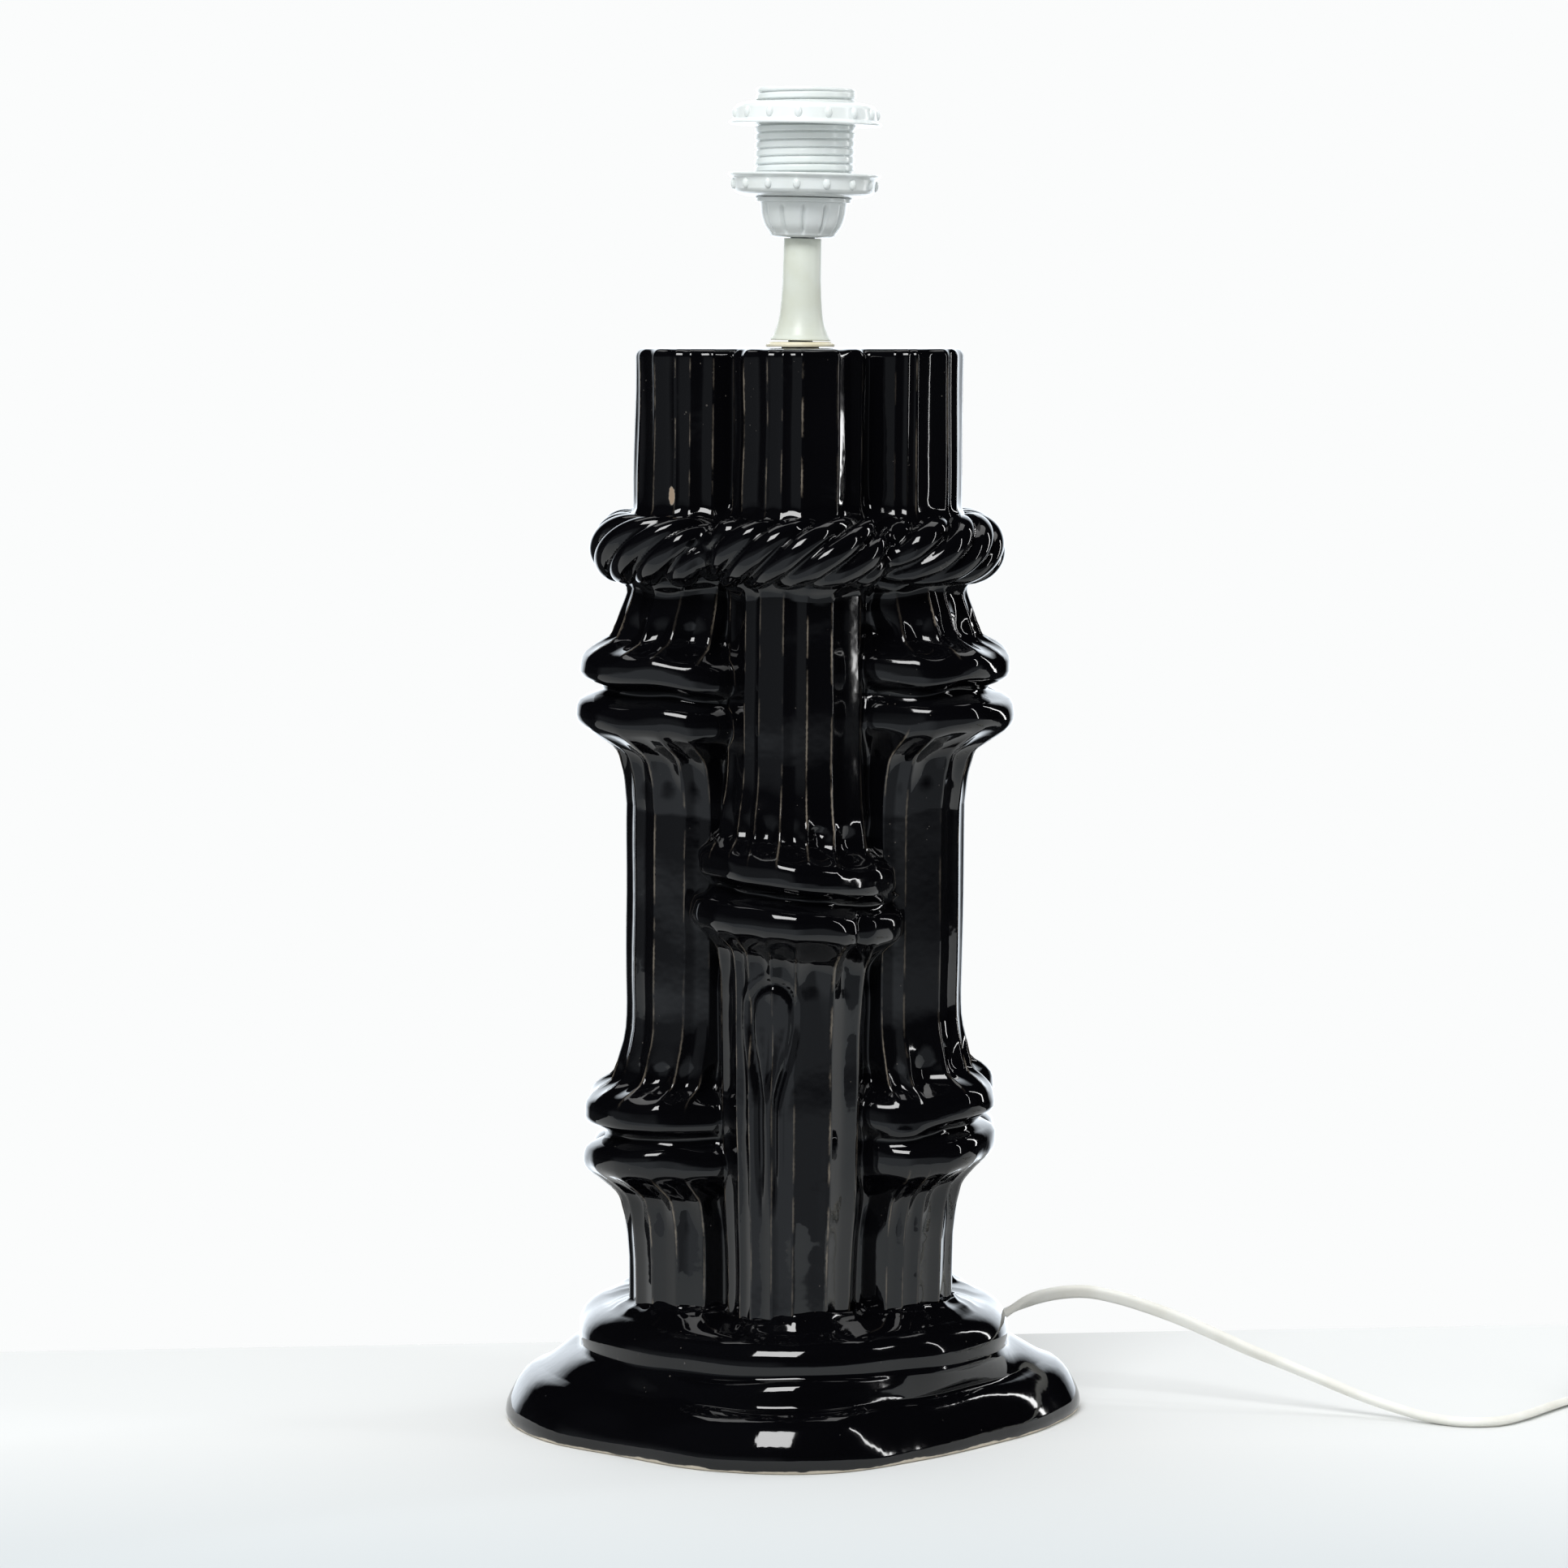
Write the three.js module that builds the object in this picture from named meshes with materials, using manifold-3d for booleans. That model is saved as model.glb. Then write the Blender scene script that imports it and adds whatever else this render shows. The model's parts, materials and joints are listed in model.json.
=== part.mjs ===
// Table lamp: a hollow glazed ceramic column, cast as six bundled cane stalks on a wavy
// three-step foot, with a plastic neck, a screw-base lampholder with two shade rings, and a
// flat mains cord with a rocker switch and a two-pin plug.
// Millimetres, +Z up, +X right, the front faces -Y. The origin is the middle of the foot's
// underside.

import * as THREE from 'three';
import { mergeVertices } from 'three/addons/utils/BufferGeometryUtils.js';
import Module from 'manifold-3d';

const wasm = await Module();
wasm.setup();

// ---------------------------------------------------------------- driving dimensions

const gap = 0.3; // clearance between pieces that touch
const round = 28; // sides of a round piece

// ceramic column
const bodyHeight = 430;
const stalkCount = 6;
const stalkRing = 43.7; // from the column's middle to each stalk's middle
const stalkRadius = 26.5;
const stalkBelly = 2.8; // extra stalk radius half way up
const columnLean = { foot: -1.3, top: 2.3 }; // sideways place of the column's middle
const footHeight = 54; // where the stalks grow out of the foot
const bodyColumns = 60; // facets around the column
const wall = 5.5;
const topPlate = 7;

// rope band around the bundle
const ropeHeight = 351;
const ropeHalf = 13.5;
const ropeSwell = 17;

// cane joints: the stalk they are on, counted anticlockwise from the front one, the height
// of the waist between the two lips, and how far the lips stand out
const caneJoints = [
  { stalk: 0, height: 217, swell: 10.5 },
  { stalk: 1, height: 296, swell: 12 },
  { stalk: 1, height: 123, swell: 11 },
  { stalk: 2, height: 296, swell: 20 },
  { stalk: 2, height: 120, swell: 18 },
  { stalk: 3, height: 214, swell: 11 },
  { stalk: 4, height: 293, swell: 21 },
  { stalk: 4, height: 113, swell: 18 },
  { stalk: 5, height: 294, swell: 15 },
  { stalk: 5, height: 119, swell: 14 },
];
const lipRise = 11; // from a waist to each lip
const lipFlare = 9; // how fast a stalk swells towards its lip
const waistDepth = 0.45;

// foot: its radius at even steps anticlockwise from the left
const footRadii = [115.5, 111, 102, 106.5, 107, 97, 95.5, 105.5, 118, 106, 98, 103, 104.5, 100.5, 108];
const stepRadius = 84; // middle radius of the upper step
const stepWave = 2;
// [height, inset] of the lower step's rounded edge, up to where the upper step starts
const footEdge = [[0, 1.6], [2, 0], [11, 1.5], [18, 6], [23, 13], [26.5, 21]];
// [height, offset from the upper step's radius]
const stepEdge = [[31, 0.5], [35, 1.2], [41, 0], [46.5, -4.5], [50.5, -10]];

// holes in the ceramic
const tubeHoleRadius = 8;
const cordHole = { radius: 4.2, mouth: new THREE.Vector3(84, 29.9, 34.5), turn: 19.6, tilt: 25 };

// neck and lampholder stand on one axis that leans a little to the right
const stackLean = 1.3;
const stackFoot = new THREE.Vector3(2.6, 0, bodyHeight);

// threaded tube and its fastening under the top plate, heights from the top plane
const tube = { radius: 4.95, bore: 3.9, bottom: -25, top: 52.2 };
const rubberWasher = { radius: 12, bore: 5.6, bottom: -9.7, thick: 2 };
const steelWasher = { radius: 13, bore: 5.4, bottom: -11.5, thick: 1.5 };
const hexNut = { flats: 14, bore: 5.25, bottom: -16.8, thick: 5 };

// lampholder, heights from the top plane
const cap = { bottom: 43.9, shoulder: 57.6, top: 59.6, bore: 5.25, bossRadius: 7.4, bossTop: 52.5 };
const sleeve = { radius: 19.85, bottom: 53, flange: 59.9, top: 103.1, bore: 13.3 };
const shadeRing = { bore: 20.35, flangeRadius: 30.5, height: 9.1 };
const lowerRingTop = 69.1;
const upperRingBottom = 88.6;
const insert = { radius: 13, bottom: 56, top: 76.6 };
const terminalReach = 10.2; // from the axis to each terminal screw

// cord
const cordRadius = 1.9; // half of a round cord of the flat cord's section
const cordSides = 8;
const cordOnTable = 2.0; // height of its middle where it lies
const coreRadius = 0.8;
// from the hole in the foot to the switch
const leadRoute = [
  [84.3, 30, 34.65], [89.2, 31.4, 37.2], [97.5, 31.6, 41.2], [109, 29.5, 44.3], [119.5, 27, 45.2],
  [131.5, 24.3, 43.4], [144.5, 21.2, 39.9], [157.5, 18.2, 35.5], [169, 15.2, 30.9],
  [184, 11.2, 24.7], [198.5, 7.2, 19.4], [213, 3, 14], [227, -2, 8.9], [241, -7.5, 4.9],
  [254.6, -15.5, 2.5], [268, -22, cordOnTable], [280.5, -20.5, cordOnTable],
  [292.3, -10, cordOnTable], [303, 4, cordOnTable], [313.7, 18, cordOnTable],
  [321, 26, 2.4], [326.4, 31.4, 4.4], [330.5, 35.5, 5.8],
];
// from the switch to the coil
const runRoute = [
  [373.5, 78.5, 5.9], [380.5, 83.1, 5], [389.1, 84.8, 3.4], [397.7, 83.1, 2.3],
  [405, 78.2, cordOnTable], [409.9, 70.9, cordOnTable], [411.6, 62.3, cordOnTable],
  [411.6, 45, cordOnTable], [411.6, 28, cordOnTable], [411.6, 12.5, 2.9],
];
// from the coil to the plug
const tailRoute = [[411.6, -27.5, 8.4], [411.6, -33, 7.8], [411.6, -39, 7.2], [411.6, -44.7, 7.05]];

const coil = { x: 375, y: -8, inner: 19.6, outer: 38.9, bottom: 1.05, top: 12.2 };
const coilTie = { turn: -150, width: 8, thick: 0.6 };

// rocker switch on the cord
const cordSwitch = {
  x: 352, y: 57, turn: 45, length: 60, width: 24, wall: 1.8,
  bottom: 0.2, parting: 6, top: 16,
};
const rocker = { length: 18, width: 11, pivotHeight: 12, tilt: 7 };
const rockerWell = { length: 19.8, width: 12 };
const switchScrewReach = 21.5;

// two-pin plug
const plug = { x: 411.6, back: -57, front: -83, bottom: 0.2, thick: 13.7, width: 26, neck: 15 };
const plugBoot = { end: -45, radius: 3.6, rootRadius: 5.2 };
const plugPin = { radius: 2, length: 19, spacing: 18.6, rooted: 8 };

// ---------------------------------------------------------------- materials

const finishes = {
  glaze: { color: 0x0b0b0d, roughness: 0.06, metalness: 0 },
  whitePlastic: { color: 0xe6ebe9, roughness: 0.3, metalness: 0 },
  neckPlastic: { color: 0xdfe5dc, roughness: 0.35, metalness: 0 },
  ivoryPlastic: { color: 0xe6e0c8, roughness: 0.4, metalness: 0 },
  cordPlastic: { color: 0xd2d0c6, roughness: 0.45, metalness: 0 },
  brownCore: { color: 0x6b4226, roughness: 0.45, metalness: 0 },
  blueCore: { color: 0x2f5fa8, roughness: 0.45, metalness: 0 },
  steel: { color: 0xb9bcc0, roughness: 0.35, metalness: 1 },
  brass: { color: 0xc9a557, roughness: 0.3, metalness: 1 },
  rubber: { color: 0x1c1c1c, roughness: 0.8, metalness: 0 },
  porcelain: { color: 0xf1efe8, roughness: 0.25, metalness: 0 },
};

const lamp = new THREE.Group();

function addPiece(name, geometry, finish, parent = lamp) {
  const piece = new THREE.Mesh(geometry, new THREE.MeshStandardMaterial(finishes[finish]));
  piece.name = name;
  parent.add(piece);
  return piece;
}

// ---------------------------------------------------------------- shape helpers

function withSharedVertices(geometry) {
  const bare = geometry.clone();
  bare.deleteAttribute('normal');
  bare.deleteAttribute('uv');
  const merged = mergeVertices(bare, 1e-4);
  const corners = merged.index.array;
  const kept = [];
  for (let i = 0; i < corners.length; i += 3) {
    const [a, b, c] = [corners[i], corners[i + 1], corners[i + 2]];
    if (a !== b && b !== c && c !== a) {
      kept.push(a, b, c);
    }
  }
  merged.setIndex(new THREE.BufferAttribute(Uint32Array.from(kept), 1));
  return merged;
}

function enclosedVolume(geometry) {
  const place = geometry.attributes.position;
  const corners = geometry.index.array;
  const [a, b, c] = [new THREE.Vector3(), new THREE.Vector3(), new THREE.Vector3()];
  let volume = 0;
  for (let i = 0; i < corners.length; i += 3) {
    a.fromBufferAttribute(place, corners[i]);
    b.fromBufferAttribute(place, corners[i + 1]);
    c.fromBufferAttribute(place, corners[i + 2]);
    volume += a.dot(b.cross(c)) / 6;
  }
  return volume;
}

// a closed geometry with shared vertices and its faces pointing out
function closed(geometry) {
  const merged = withSharedVertices(geometry);
  if (enclosedVolume(merged) < 0) {
    const corners = merged.index.array;
    for (let i = 0; i < corners.length; i += 3) {
      [corners[i], corners[i + 1]] = [corners[i + 1], corners[i]];
    }
  }
  merged.computeVertexNormals();
  return merged;
}

function solid(geometry) {
  const merged = closed(geometry);
  return new wasm.Manifold(new wasm.Mesh({
    numProp: 3,
    vertProperties: merged.attributes.position.array,
    triVerts: merged.index.array,
  }));
}

function fromSolid(body) {
  const mesh = body.getMesh();
  const geometry = new THREE.BufferGeometry();
  geometry.setAttribute('position', new THREE.BufferAttribute(mesh.vertProperties, 3));
  geometry.setIndex(new THREE.BufferAttribute(mesh.triVerts, 1));
  geometry.computeVertexNormals();
  return geometry;
}

// a body turned about Z from its [radius, height] outline; the outline closes on itself
// unless it starts and ends on the axis
function turned(outline, sides = round) {
  const points = outline.map(([radius, height]) => new THREE.Vector2(radius, height));
  if (points[0].x > 0) {
    points.push(points[0].clone());
  }
  return closed(new THREE.LatheGeometry(points, sides).rotateX(Math.PI / 2));
}

function ringOf({ radius, bore, bottom, thick }, sides = round) {
  const top = bottom + thick;
  return turned([[bore, bottom], [radius, bottom], [radius, top], [bore, top]], sides);
}

// an upright rod from one height to another
function rod(radius, bottom, top, sides = 16) {
  return turned([[0, bottom], [radius, bottom], [radius, top], [0, top]], sides);
}

// a flat outline in XY raised from one height to another
function raised(outline, bottom, top) {
  const shape = outline instanceof THREE.Shape
    ? outline
    : new THREE.Shape(outline.map(([x, y]) => new THREE.Vector2(x, y)));
  const plate = new THREE.ExtrudeGeometry(shape, {
    depth: top - bottom,
    bevelEnabled: false,
    curveSegments: 5,
  });
  return closed(plate.translate(0, 0, bottom));
}

// a side profile in XZ with a width along Y
function barOf(profile, width) {
  const bar = raised(profile, -width / 2, width / 2);
  return closed(bar.rotateX(Math.PI / 2));
}

// a round cord along a smooth curve through its points
function cordAlong(points, radius, step, sides = cordSides) {
  const curve = new THREE.CatmullRomCurve3(points.map((p) => new THREE.Vector3(...p)));
  const section = new THREE.Shape();
  for (let i = 0; i < sides; i += 1) {
    const turn = (2 * Math.PI * i) / sides;
    section[i ? 'lineTo' : 'moveTo'](radius * Math.cos(turn), radius * Math.sin(turn));
  }
  section.closePath();
  const steps = Math.max(4, Math.round(curve.getLength() / step));
  return closed(new THREE.ExtrudeGeometry(section, { steps, extrudePath: curve, bevelEnabled: false }));
}

// a rectangle with rounded corners, centred, longer side along X
function roundedOutline(length, width, corner) {
  const [x, y] = [length / 2, width / 2];
  const shape = new THREE.Shape();
  shape.moveTo(-x + corner, -y);
  shape.lineTo(x - corner, -y);
  shape.absarc(x - corner, -y + corner, corner, -Math.PI / 2, 0);
  shape.lineTo(x, y - corner);
  shape.absarc(x - corner, y - corner, corner, 0, Math.PI / 2);
  shape.lineTo(-x + corner, y);
  shape.absarc(-x + corner, y - corner, corner, Math.PI / 2, Math.PI);
  shape.lineTo(-x, -y + corner);
  shape.absarc(-x + corner, -y + corner, corner, Math.PI, 1.5 * Math.PI);
  return shape;
}

const degrees = THREE.MathUtils.degToRad;

// ---------------------------------------------------------------- ceramic column

// the foot's radius along an angle, a smooth closed curve through footRadii
function footRadius(angle) {
  const count = footRadii.length;
  const place = ((angle + Math.PI) / (2 * Math.PI)) * count;
  const first = Math.floor(place);
  const t = place - first;
  const [a, b, c, d] = [-1, 0, 1, 2].map((k) => footRadii[(first + k + 2 * count) % count]);
  return b + 0.5 * t * (c - a + t * (2 * a - 5 * b + 4 * c - d + t * (3 * (b - c) + d - a)));
}

function jointSwell(rise) {
  const away = Math.abs(rise);
  if (away < lipRise) {
    return 1 - waistDepth * (1 - THREE.MathUtils.smoothstep(away, 0, lipRise));
  }
  return 1 / (1 + ((away - lipRise) / lipFlare) ** 2);
}

function stalkRadiusAt(stalk, height) {
  const up = (height - footHeight) / (bodyHeight - footHeight);
  let radius = stalkRadius + stalkBelly * Math.sin(Math.PI * THREE.MathUtils.clamp(up, 0, 1));
  for (const joint of caneJoints.filter((one) => one.stalk === stalk)) {
    radius += joint.swell * jointSwell(height - joint.height);
  }
  const ropeShare = (height - ropeHeight) / ropeHalf;
  if (Math.abs(ropeShare) < 1) {
    radius = Math.max(radius, stalkRadius + ropeSwell * Math.sqrt(1 - ropeShare ** 2));
  }
  return radius;
}

// how far the bundle reaches along an angle, when each stalk has its own radius
function bundleReach(angle, radiusOf) {
  let reach = 0;
  for (let stalk = 0; stalk < stalkCount; stalk += 1) {
    const turn = angle + Math.PI / 2 - (2 * Math.PI * stalk) / stalkCount;
    const under = radiusOf(stalk) ** 2 - (stalkRing * Math.sin(turn)) ** 2;
    if (under > 0) {
      reach = Math.max(reach, stalkRing * Math.cos(turn) + Math.sqrt(under));
    }
  }
  return reach;
}

// a body around the column's middle with a free radius at every row and angle
function freeForm(rows) {
  const outline = [[0, rows[0].height], ...rows.map((row) => [1, row.height]), [0, rows.at(-1).height]];
  const form = new THREE.LatheGeometry(outline.map((p) => new THREE.Vector2(...p)), bodyColumns);
  form.rotateX(Math.PI / 2);
  const place = form.attributes.position;
  for (let column = 0; column <= bodyColumns; column += 1) {
    const angle = (2 * Math.PI * (column % bodyColumns)) / bodyColumns - Math.PI / 2;
    rows.forEach((row, i) => {
      const radius = row.radius(angle);
      const x = radius * Math.cos(angle) + (row.shift ?? 0);
      place.setXY(column * (rows.length + 2) + i + 1, x, radius * Math.sin(angle));
    });
  }
  return closed(form);
}

function columnShift(height) {
  const up = (height - footHeight) / (bodyHeight - footHeight);
  return THREE.MathUtils.lerp(columnLean.foot, columnLean.top, THREE.MathUtils.clamp(up, 0, 1));
}

const upperStep = (angle) => stepRadius + stepWave * Math.cos(2 * angle);

function columnRow(height, inset = 0) {
  return {
    height,
    shift: columnShift(height),
    radius: (angle) => bundleReach(angle, (stalk) => stalkRadiusAt(stalk, height)) - inset,
  };
}

function ceramicOutside() {
  const jointRows = [120, 217, 295].flatMap((waist) => (
    [-36, -20, -lipRise, -4, 4, lipRise, 20, 36].map((rise) => columnRow(waist + rise))
  ));
  const ropeRows = [-14, -12, -7, 0, 7, 12, 14].map((rise) => columnRow(ropeHeight + rise));
  return freeForm([
    ...footEdge.map(([height, inset]) => ({ height, radius: (angle) => footRadius(angle) - inset })),
    ...stepEdge.map(([height, offset]) => ({ height, radius: (angle) => upperStep(angle) + offset })),
    columnRow(footHeight),
    ...jointRows,
    ...ropeRows,
    columnRow(bodyHeight - 2.5),
    columnRow(bodyHeight, 2.2),
  ]);
}

// the hollow follows the stalks and is rounded where two of them meet
function hollowRow(height, belly = 0) {
  const slimStalk = stalkRadius + belly - wall;
  const creaseReach = 47.5 + belly;
  return {
    height,
    shift: columnShift(height),
    radius: (angle) => Math.max(creaseReach, bundleReach(angle, () => slimStalk)),
  };
}

function ceramicInside() {
  return freeForm([
    { height: -1, radius: (angle) => footRadius(angle) - 8.5 },
    { height: 12, radius: (angle) => footRadius(angle) - 11 },
    { height: 21, radius: (angle) => upperStep(angle) - 6 },
    { height: 27, radius: (angle) => upperStep(angle) - 8 },
    { height: 39, radius: (angle) => upperStep(angle) - 8 },
    { height: 46, radius: (angle) => upperStep(angle) - 15 },
    hollowRow(footHeight),
    hollowRow(150, stalkBelly),
    hollowRow(330, stalkBelly),
    hollowRow(380),
    hollowRow(bodyHeight - topPlate),
  ]);
}

function ceramicBody() {
  const { radius, mouth, turn, tilt } = cordHole;
  const tubeHole = rod(tubeHoleRadius, bodyHeight - 20, bodyHeight + 5, 24).translate(stackFoot.x, 0, 0);
  const cordTunnel = rod(radius, -40, 25, 12)
    .rotateY(degrees(90 - tilt))
    .rotateZ(degrees(turn))
    .translate(mouth.x, mouth.y, mouth.z);
  const middle = new THREE.Box3().setFromBufferAttribute(ceramicOutside().attributes.position)
    .getCenter(new THREE.Vector3());
  const centred = (geometry) => solid(geometry.translate(-middle.x, -middle.y, 0));
  const shell = centred(ceramicOutside()).subtract(centred(ceramicInside()));
  return fromSolid(shell.subtract(solid(tubeHole)).subtract(solid(cordTunnel)));
}

addPiece('ceramic_body', ceramicBody(), 'glaze');

// ---------------------------------------------------------------- neck

// seat between the ceramic and the neck, with a spigot down into the hole
const seatBottom = bodyHeight + gap;
addPiece('neck_flange', turned([
  [5.9, bodyHeight - 5.5], [7.5, bodyHeight - 5.5], [7.5, seatBottom], [13.7, seatBottom],
  [13.7, bodyHeight + 1.5], [12.3, bodyHeight + 1.6], [12.3, bodyHeight + 2.3], [5.9, bodyHeight + 2.3],
]).translate(stackFoot.x, 0, 0), 'ivoryPlastic');

const stack = new THREE.Group();
stack.position.copy(stackFoot);
stack.rotation.y = degrees(stackLean);
lamp.add(stack);

const neckBore = 5.5;
addPiece('neck_sleeve', turned([
  [neckBore, 2.9], [12, 2.9], [12, 3.5], [10.4, 4.9], [9, 8.2], [8.3, 11.5], [7.85, 18],
  [7.6, 26], [7.5, 43.5], [neckBore, 43.5],
]), 'neckPlastic', stack);

addPiece('threaded_tube', turned([
  [tube.bore, tube.bottom], [tube.radius, tube.bottom], [tube.radius, tube.top], [tube.bore, tube.top],
], 24), 'steel', stack);
addPiece('rubber_washer', ringOf(rubberWasher, 24), 'rubber', stack);
addPiece('steel_washer', ringOf(steelWasher, 24), 'steel', stack);

function hexNutBody() {
  const { flats, bore, bottom, thick } = hexNut;
  const cornerRadius = flats / 2 / Math.cos(Math.PI / 6);
  const prism = rod(cornerRadius, bottom, bottom + thick, 6);
  return fromSolid(solid(prism).subtract(solid(rod(bore, bottom - 1, bottom + thick + 1, 24))));
}
addPiece('hex_nut', hexNutBody(), 'steel', stack);

// ---------------------------------------------------------------- lampholder

const lockScrewHeight = 49.4;
const lockScrewRadius = 1.3;

// a rod that points to the rear, from one distance to another
function lockRod(radius, near, far) {
  return rod(radius, near, far, 10).rotateX(-Math.PI / 2).translate(0, 0, lockScrewHeight);
}

function holderCap() {
  const bowl = turned([
    [cap.bore, cap.bottom], [11.5, cap.bottom], [13.6, 45.4], [15.4, 48], [16.7, 52], [17.3, cap.shoulder],
    [19.2, cap.shoulder], [19.2, cap.top], [15.4, cap.top], [15.3, 52], [13.6, 48.6],
    [cap.bossRadius, 46.7], [cap.bossRadius, cap.bossTop], [cap.bore, cap.bossTop],
  ]);
  return fromSolid(solid(bowl).subtract(solid(lockRod(lockScrewRadius + gap, 4, 9))));
}
addPiece('holder_cap', holderCap(), 'whitePlastic', stack);

addPiece('cap_lock_screw', lockRod(lockScrewRadius, tube.radius + gap, 11), 'steel', stack);

// outer threaded skirt and inner lamp thread in one piece, with a slot between them
const spigotRadius = 15;
addPiece('holder_sleeve', turned([
  [13.4, sleeve.bottom], [spigotRadius, sleeve.bottom], [spigotRadius, sleeve.flange],
  [sleeve.radius, sleeve.flange],
  [sleeve.radius, sleeve.top], [17.8, sleeve.top], [17.8, 66], [15.4, 66], [15.4, 101.5],
  [sleeve.bore, 101.5], [sleeve.bore, insert.top + gap], [12.4, insert.top + gap],
  [12.4, insert.top - 1.6], [13.4, insert.top - 1.6],
]), 'whitePlastic', stack);

// shade ring, its wide clamping flange at height 0 and its body above
function shadeRingOutline() {
  const { bore, flangeRadius, height } = shadeRing;
  return [
    [bore, 0], [flangeRadius, 0], [flangeRadius, 0.9], [28.6, 1.9], [28.2, 6.6], [26.4, 8], [22, height],
    [bore, height],
  ];
}
const upperRing = addPiece('shade_ring_upper', turned(shadeRingOutline()), 'whitePlastic', stack);
upperRing.position.z = upperRingBottom;
const mirroredRing = shadeRingOutline().map(([radius, height]) => [radius, lowerRingTop - height]);
addPiece('shade_ring_lower', turned(mirroredRing), 'whitePlastic', stack);

const screwRadius = 1.5;

function contactInsert() {
  const block = turned([
    [0, 59.5], [7.6, 59.5], [7.6, insert.bottom], [insert.radius, insert.bottom],
    [insert.radius, insert.top - 2], [12, insert.top - 2], [12, insert.top], [0, insert.top],
  ]);
  const pocket = (x) => solid(rod(screwRadius + gap, insert.bottom - 1, 63, 10).translate(x, 0, 0));
  return fromSolid(solid(block).subtract(pocket(terminalReach)).subtract(pocket(-terminalReach)));
}
addPiece('contact_insert', contactInsert(), 'porcelain', stack);

const springThick = 0.6;
addPiece('centre_contact', barOf([
  [-10, insert.top + gap], [-7, insert.top + gap], [-2, 79.4], [1.5, 80.4], [4.4, 79], [4.9, 79.5],
  [1.7, 80.4 + springThick], [-2.2, 79.4 + springThick], [-7.2, insert.top + gap + springThick],
  [-10, insert.top + gap + springThick],
], 6), 'brass', stack);
addPiece('side_contact', barOf([
  [10.4, insert.top + gap], [11.9, insert.top + gap], [11.9, 80], [11, 84], [10.4, 84], [11.3, 80],
  [11.3, insert.top + gap + springThick], [10.4, insert.top + gap + springThick],
], 5), 'brass', stack);

for (const [name, side] of [['terminal_screw_live', 1], ['terminal_screw_neutral', -1]]) {
  const screw = turned([
    [0, 53.4], [2.1, 53.4], [2.1, insert.bottom - gap], [screwRadius, insert.bottom - gap],
    [screwRadius, 62.6], [0, 62.6],
  ], 12);
  addPiece(name, screw.translate(side * terminalReach, 0, 0), 'brass', stack);
}

for (const [name, side, finish] of [['core_live', 1, 'brownCore'], ['core_neutral', -1, 'blueCore']]) {
  const route = [[1.4, 0, 51], [1.9, 0, 53], [3.6, 0, 54.3], [6, 0, 54.5], [7.7, 0, 54.4]];
  const core = cordAlong(route.map(([x, y, z]) => [side * x, y, z]), coreRadius, 1.3);
  addPiece(name, core, finish, stack);
}

// ---------------------------------------------------------------- cord inside the lamp

const leanSlope = Math.tan(degrees(stackLean));
const onStackAxis = (height) => [stackFoot.x + height * leanSlope, 0, bodyHeight + height];
const mouth = cordHole.mouth.toArray();
const insideRoute = [
  onStackAxis(50), onStackAxis(20), onStackAxis(-26), [1, 4, 370], [-8, 10, 300], [-12, 12, 220],
  [-6, 12, 140], [12, 13, 75], [31, 14.5, 34], [44.5, 16.8, 19], [57.5, 20.5, 21.4],
  [71.2, 25.3, 28.2], mouth,
];
addPiece('cord_inside', cordAlong(insideRoute, cordRadius, 12), 'cordPlastic');

// tie that grips the cord just inside the hole, so that a pull can't reach the terminals
const stopDistance = 31; // from the mouth, back along the hole
const stopTie = ringOf({ radius: 5.6, bore: cordRadius + 1.2, bottom: -2, thick: 4 }, 16);
stopTie.rotateY(degrees(90 - cordHole.tilt)).rotateZ(degrees(cordHole.turn));
const holeRun = new THREE.Vector3(
  Math.cos(degrees(cordHole.tilt)) * Math.cos(degrees(cordHole.turn)),
  Math.cos(degrees(cordHole.tilt)) * Math.sin(degrees(cordHole.turn)),
  Math.sin(degrees(cordHole.tilt)),
);
const stopPlace = cordHole.mouth.clone().addScaledVector(holeRun, -stopDistance);
addPiece('cord_stop_tie', stopTie.translate(stopPlace.x, stopPlace.y, stopPlace.z), 'whitePlastic');

// ---------------------------------------------------------------- cord outside the lamp

addPiece('cord_lead', cordAlong(leadRoute, cordRadius, 7), 'cordPlastic');
addPiece('cord_run', cordAlong(runRoute, cordRadius, 8), 'cordPlastic');
addPiece('cord_tail', cordAlong(tailRoute, cordRadius, 5), 'cordPlastic');

const coilRing = turned([
  [coil.inner, coil.bottom + 1.5], [coil.inner + 1.5, coil.bottom], [coil.outer - 1.5, coil.bottom],
  [coil.outer, coil.bottom + 1.5], [coil.outer, coil.top - 1.5], [coil.outer - 1.5, coil.top],
  [coil.inner + 1.5, coil.top], [coil.inner, coil.top - 1.5],
]);
addPiece('cord_coil', coilRing.translate(coil.x, coil.y, 0), 'cordPlastic');

function coilTieBand() {
  const { turn, width, thick } = coilTie;
  const [near, far] = [coil.inner - 0.8 - thick, coil.outer + 0.4 + thick];
  const [low, high] = [coil.bottom - gap - thick, coil.top + gap + thick];
  const band = new THREE.Shape([[near, low], [far, low], [far, high], [near, high]]
    .map((corner) => new THREE.Vector2(...corner)));
  band.holes.push(new THREE.Path([
    [near + thick, low + thick], [near + thick, high - thick],
    [far - thick, high - thick], [far - thick, low + thick],
  ].map((corner) => new THREE.Vector2(...corner))));
  return barOf(band, width).rotateZ(degrees(turn)).translate(coil.x, coil.y, 0);
}
addPiece('coil_tie', coilTieBand(), 'rubber');

// ---------------------------------------------------------------- rocker switch

const switchGroup = new THREE.Group();
switchGroup.position.set(cordSwitch.x, cordSwitch.y, 0);
switchGroup.rotation.z = degrees(cordSwitch.turn);
lamp.add(switchGroup);

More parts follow.
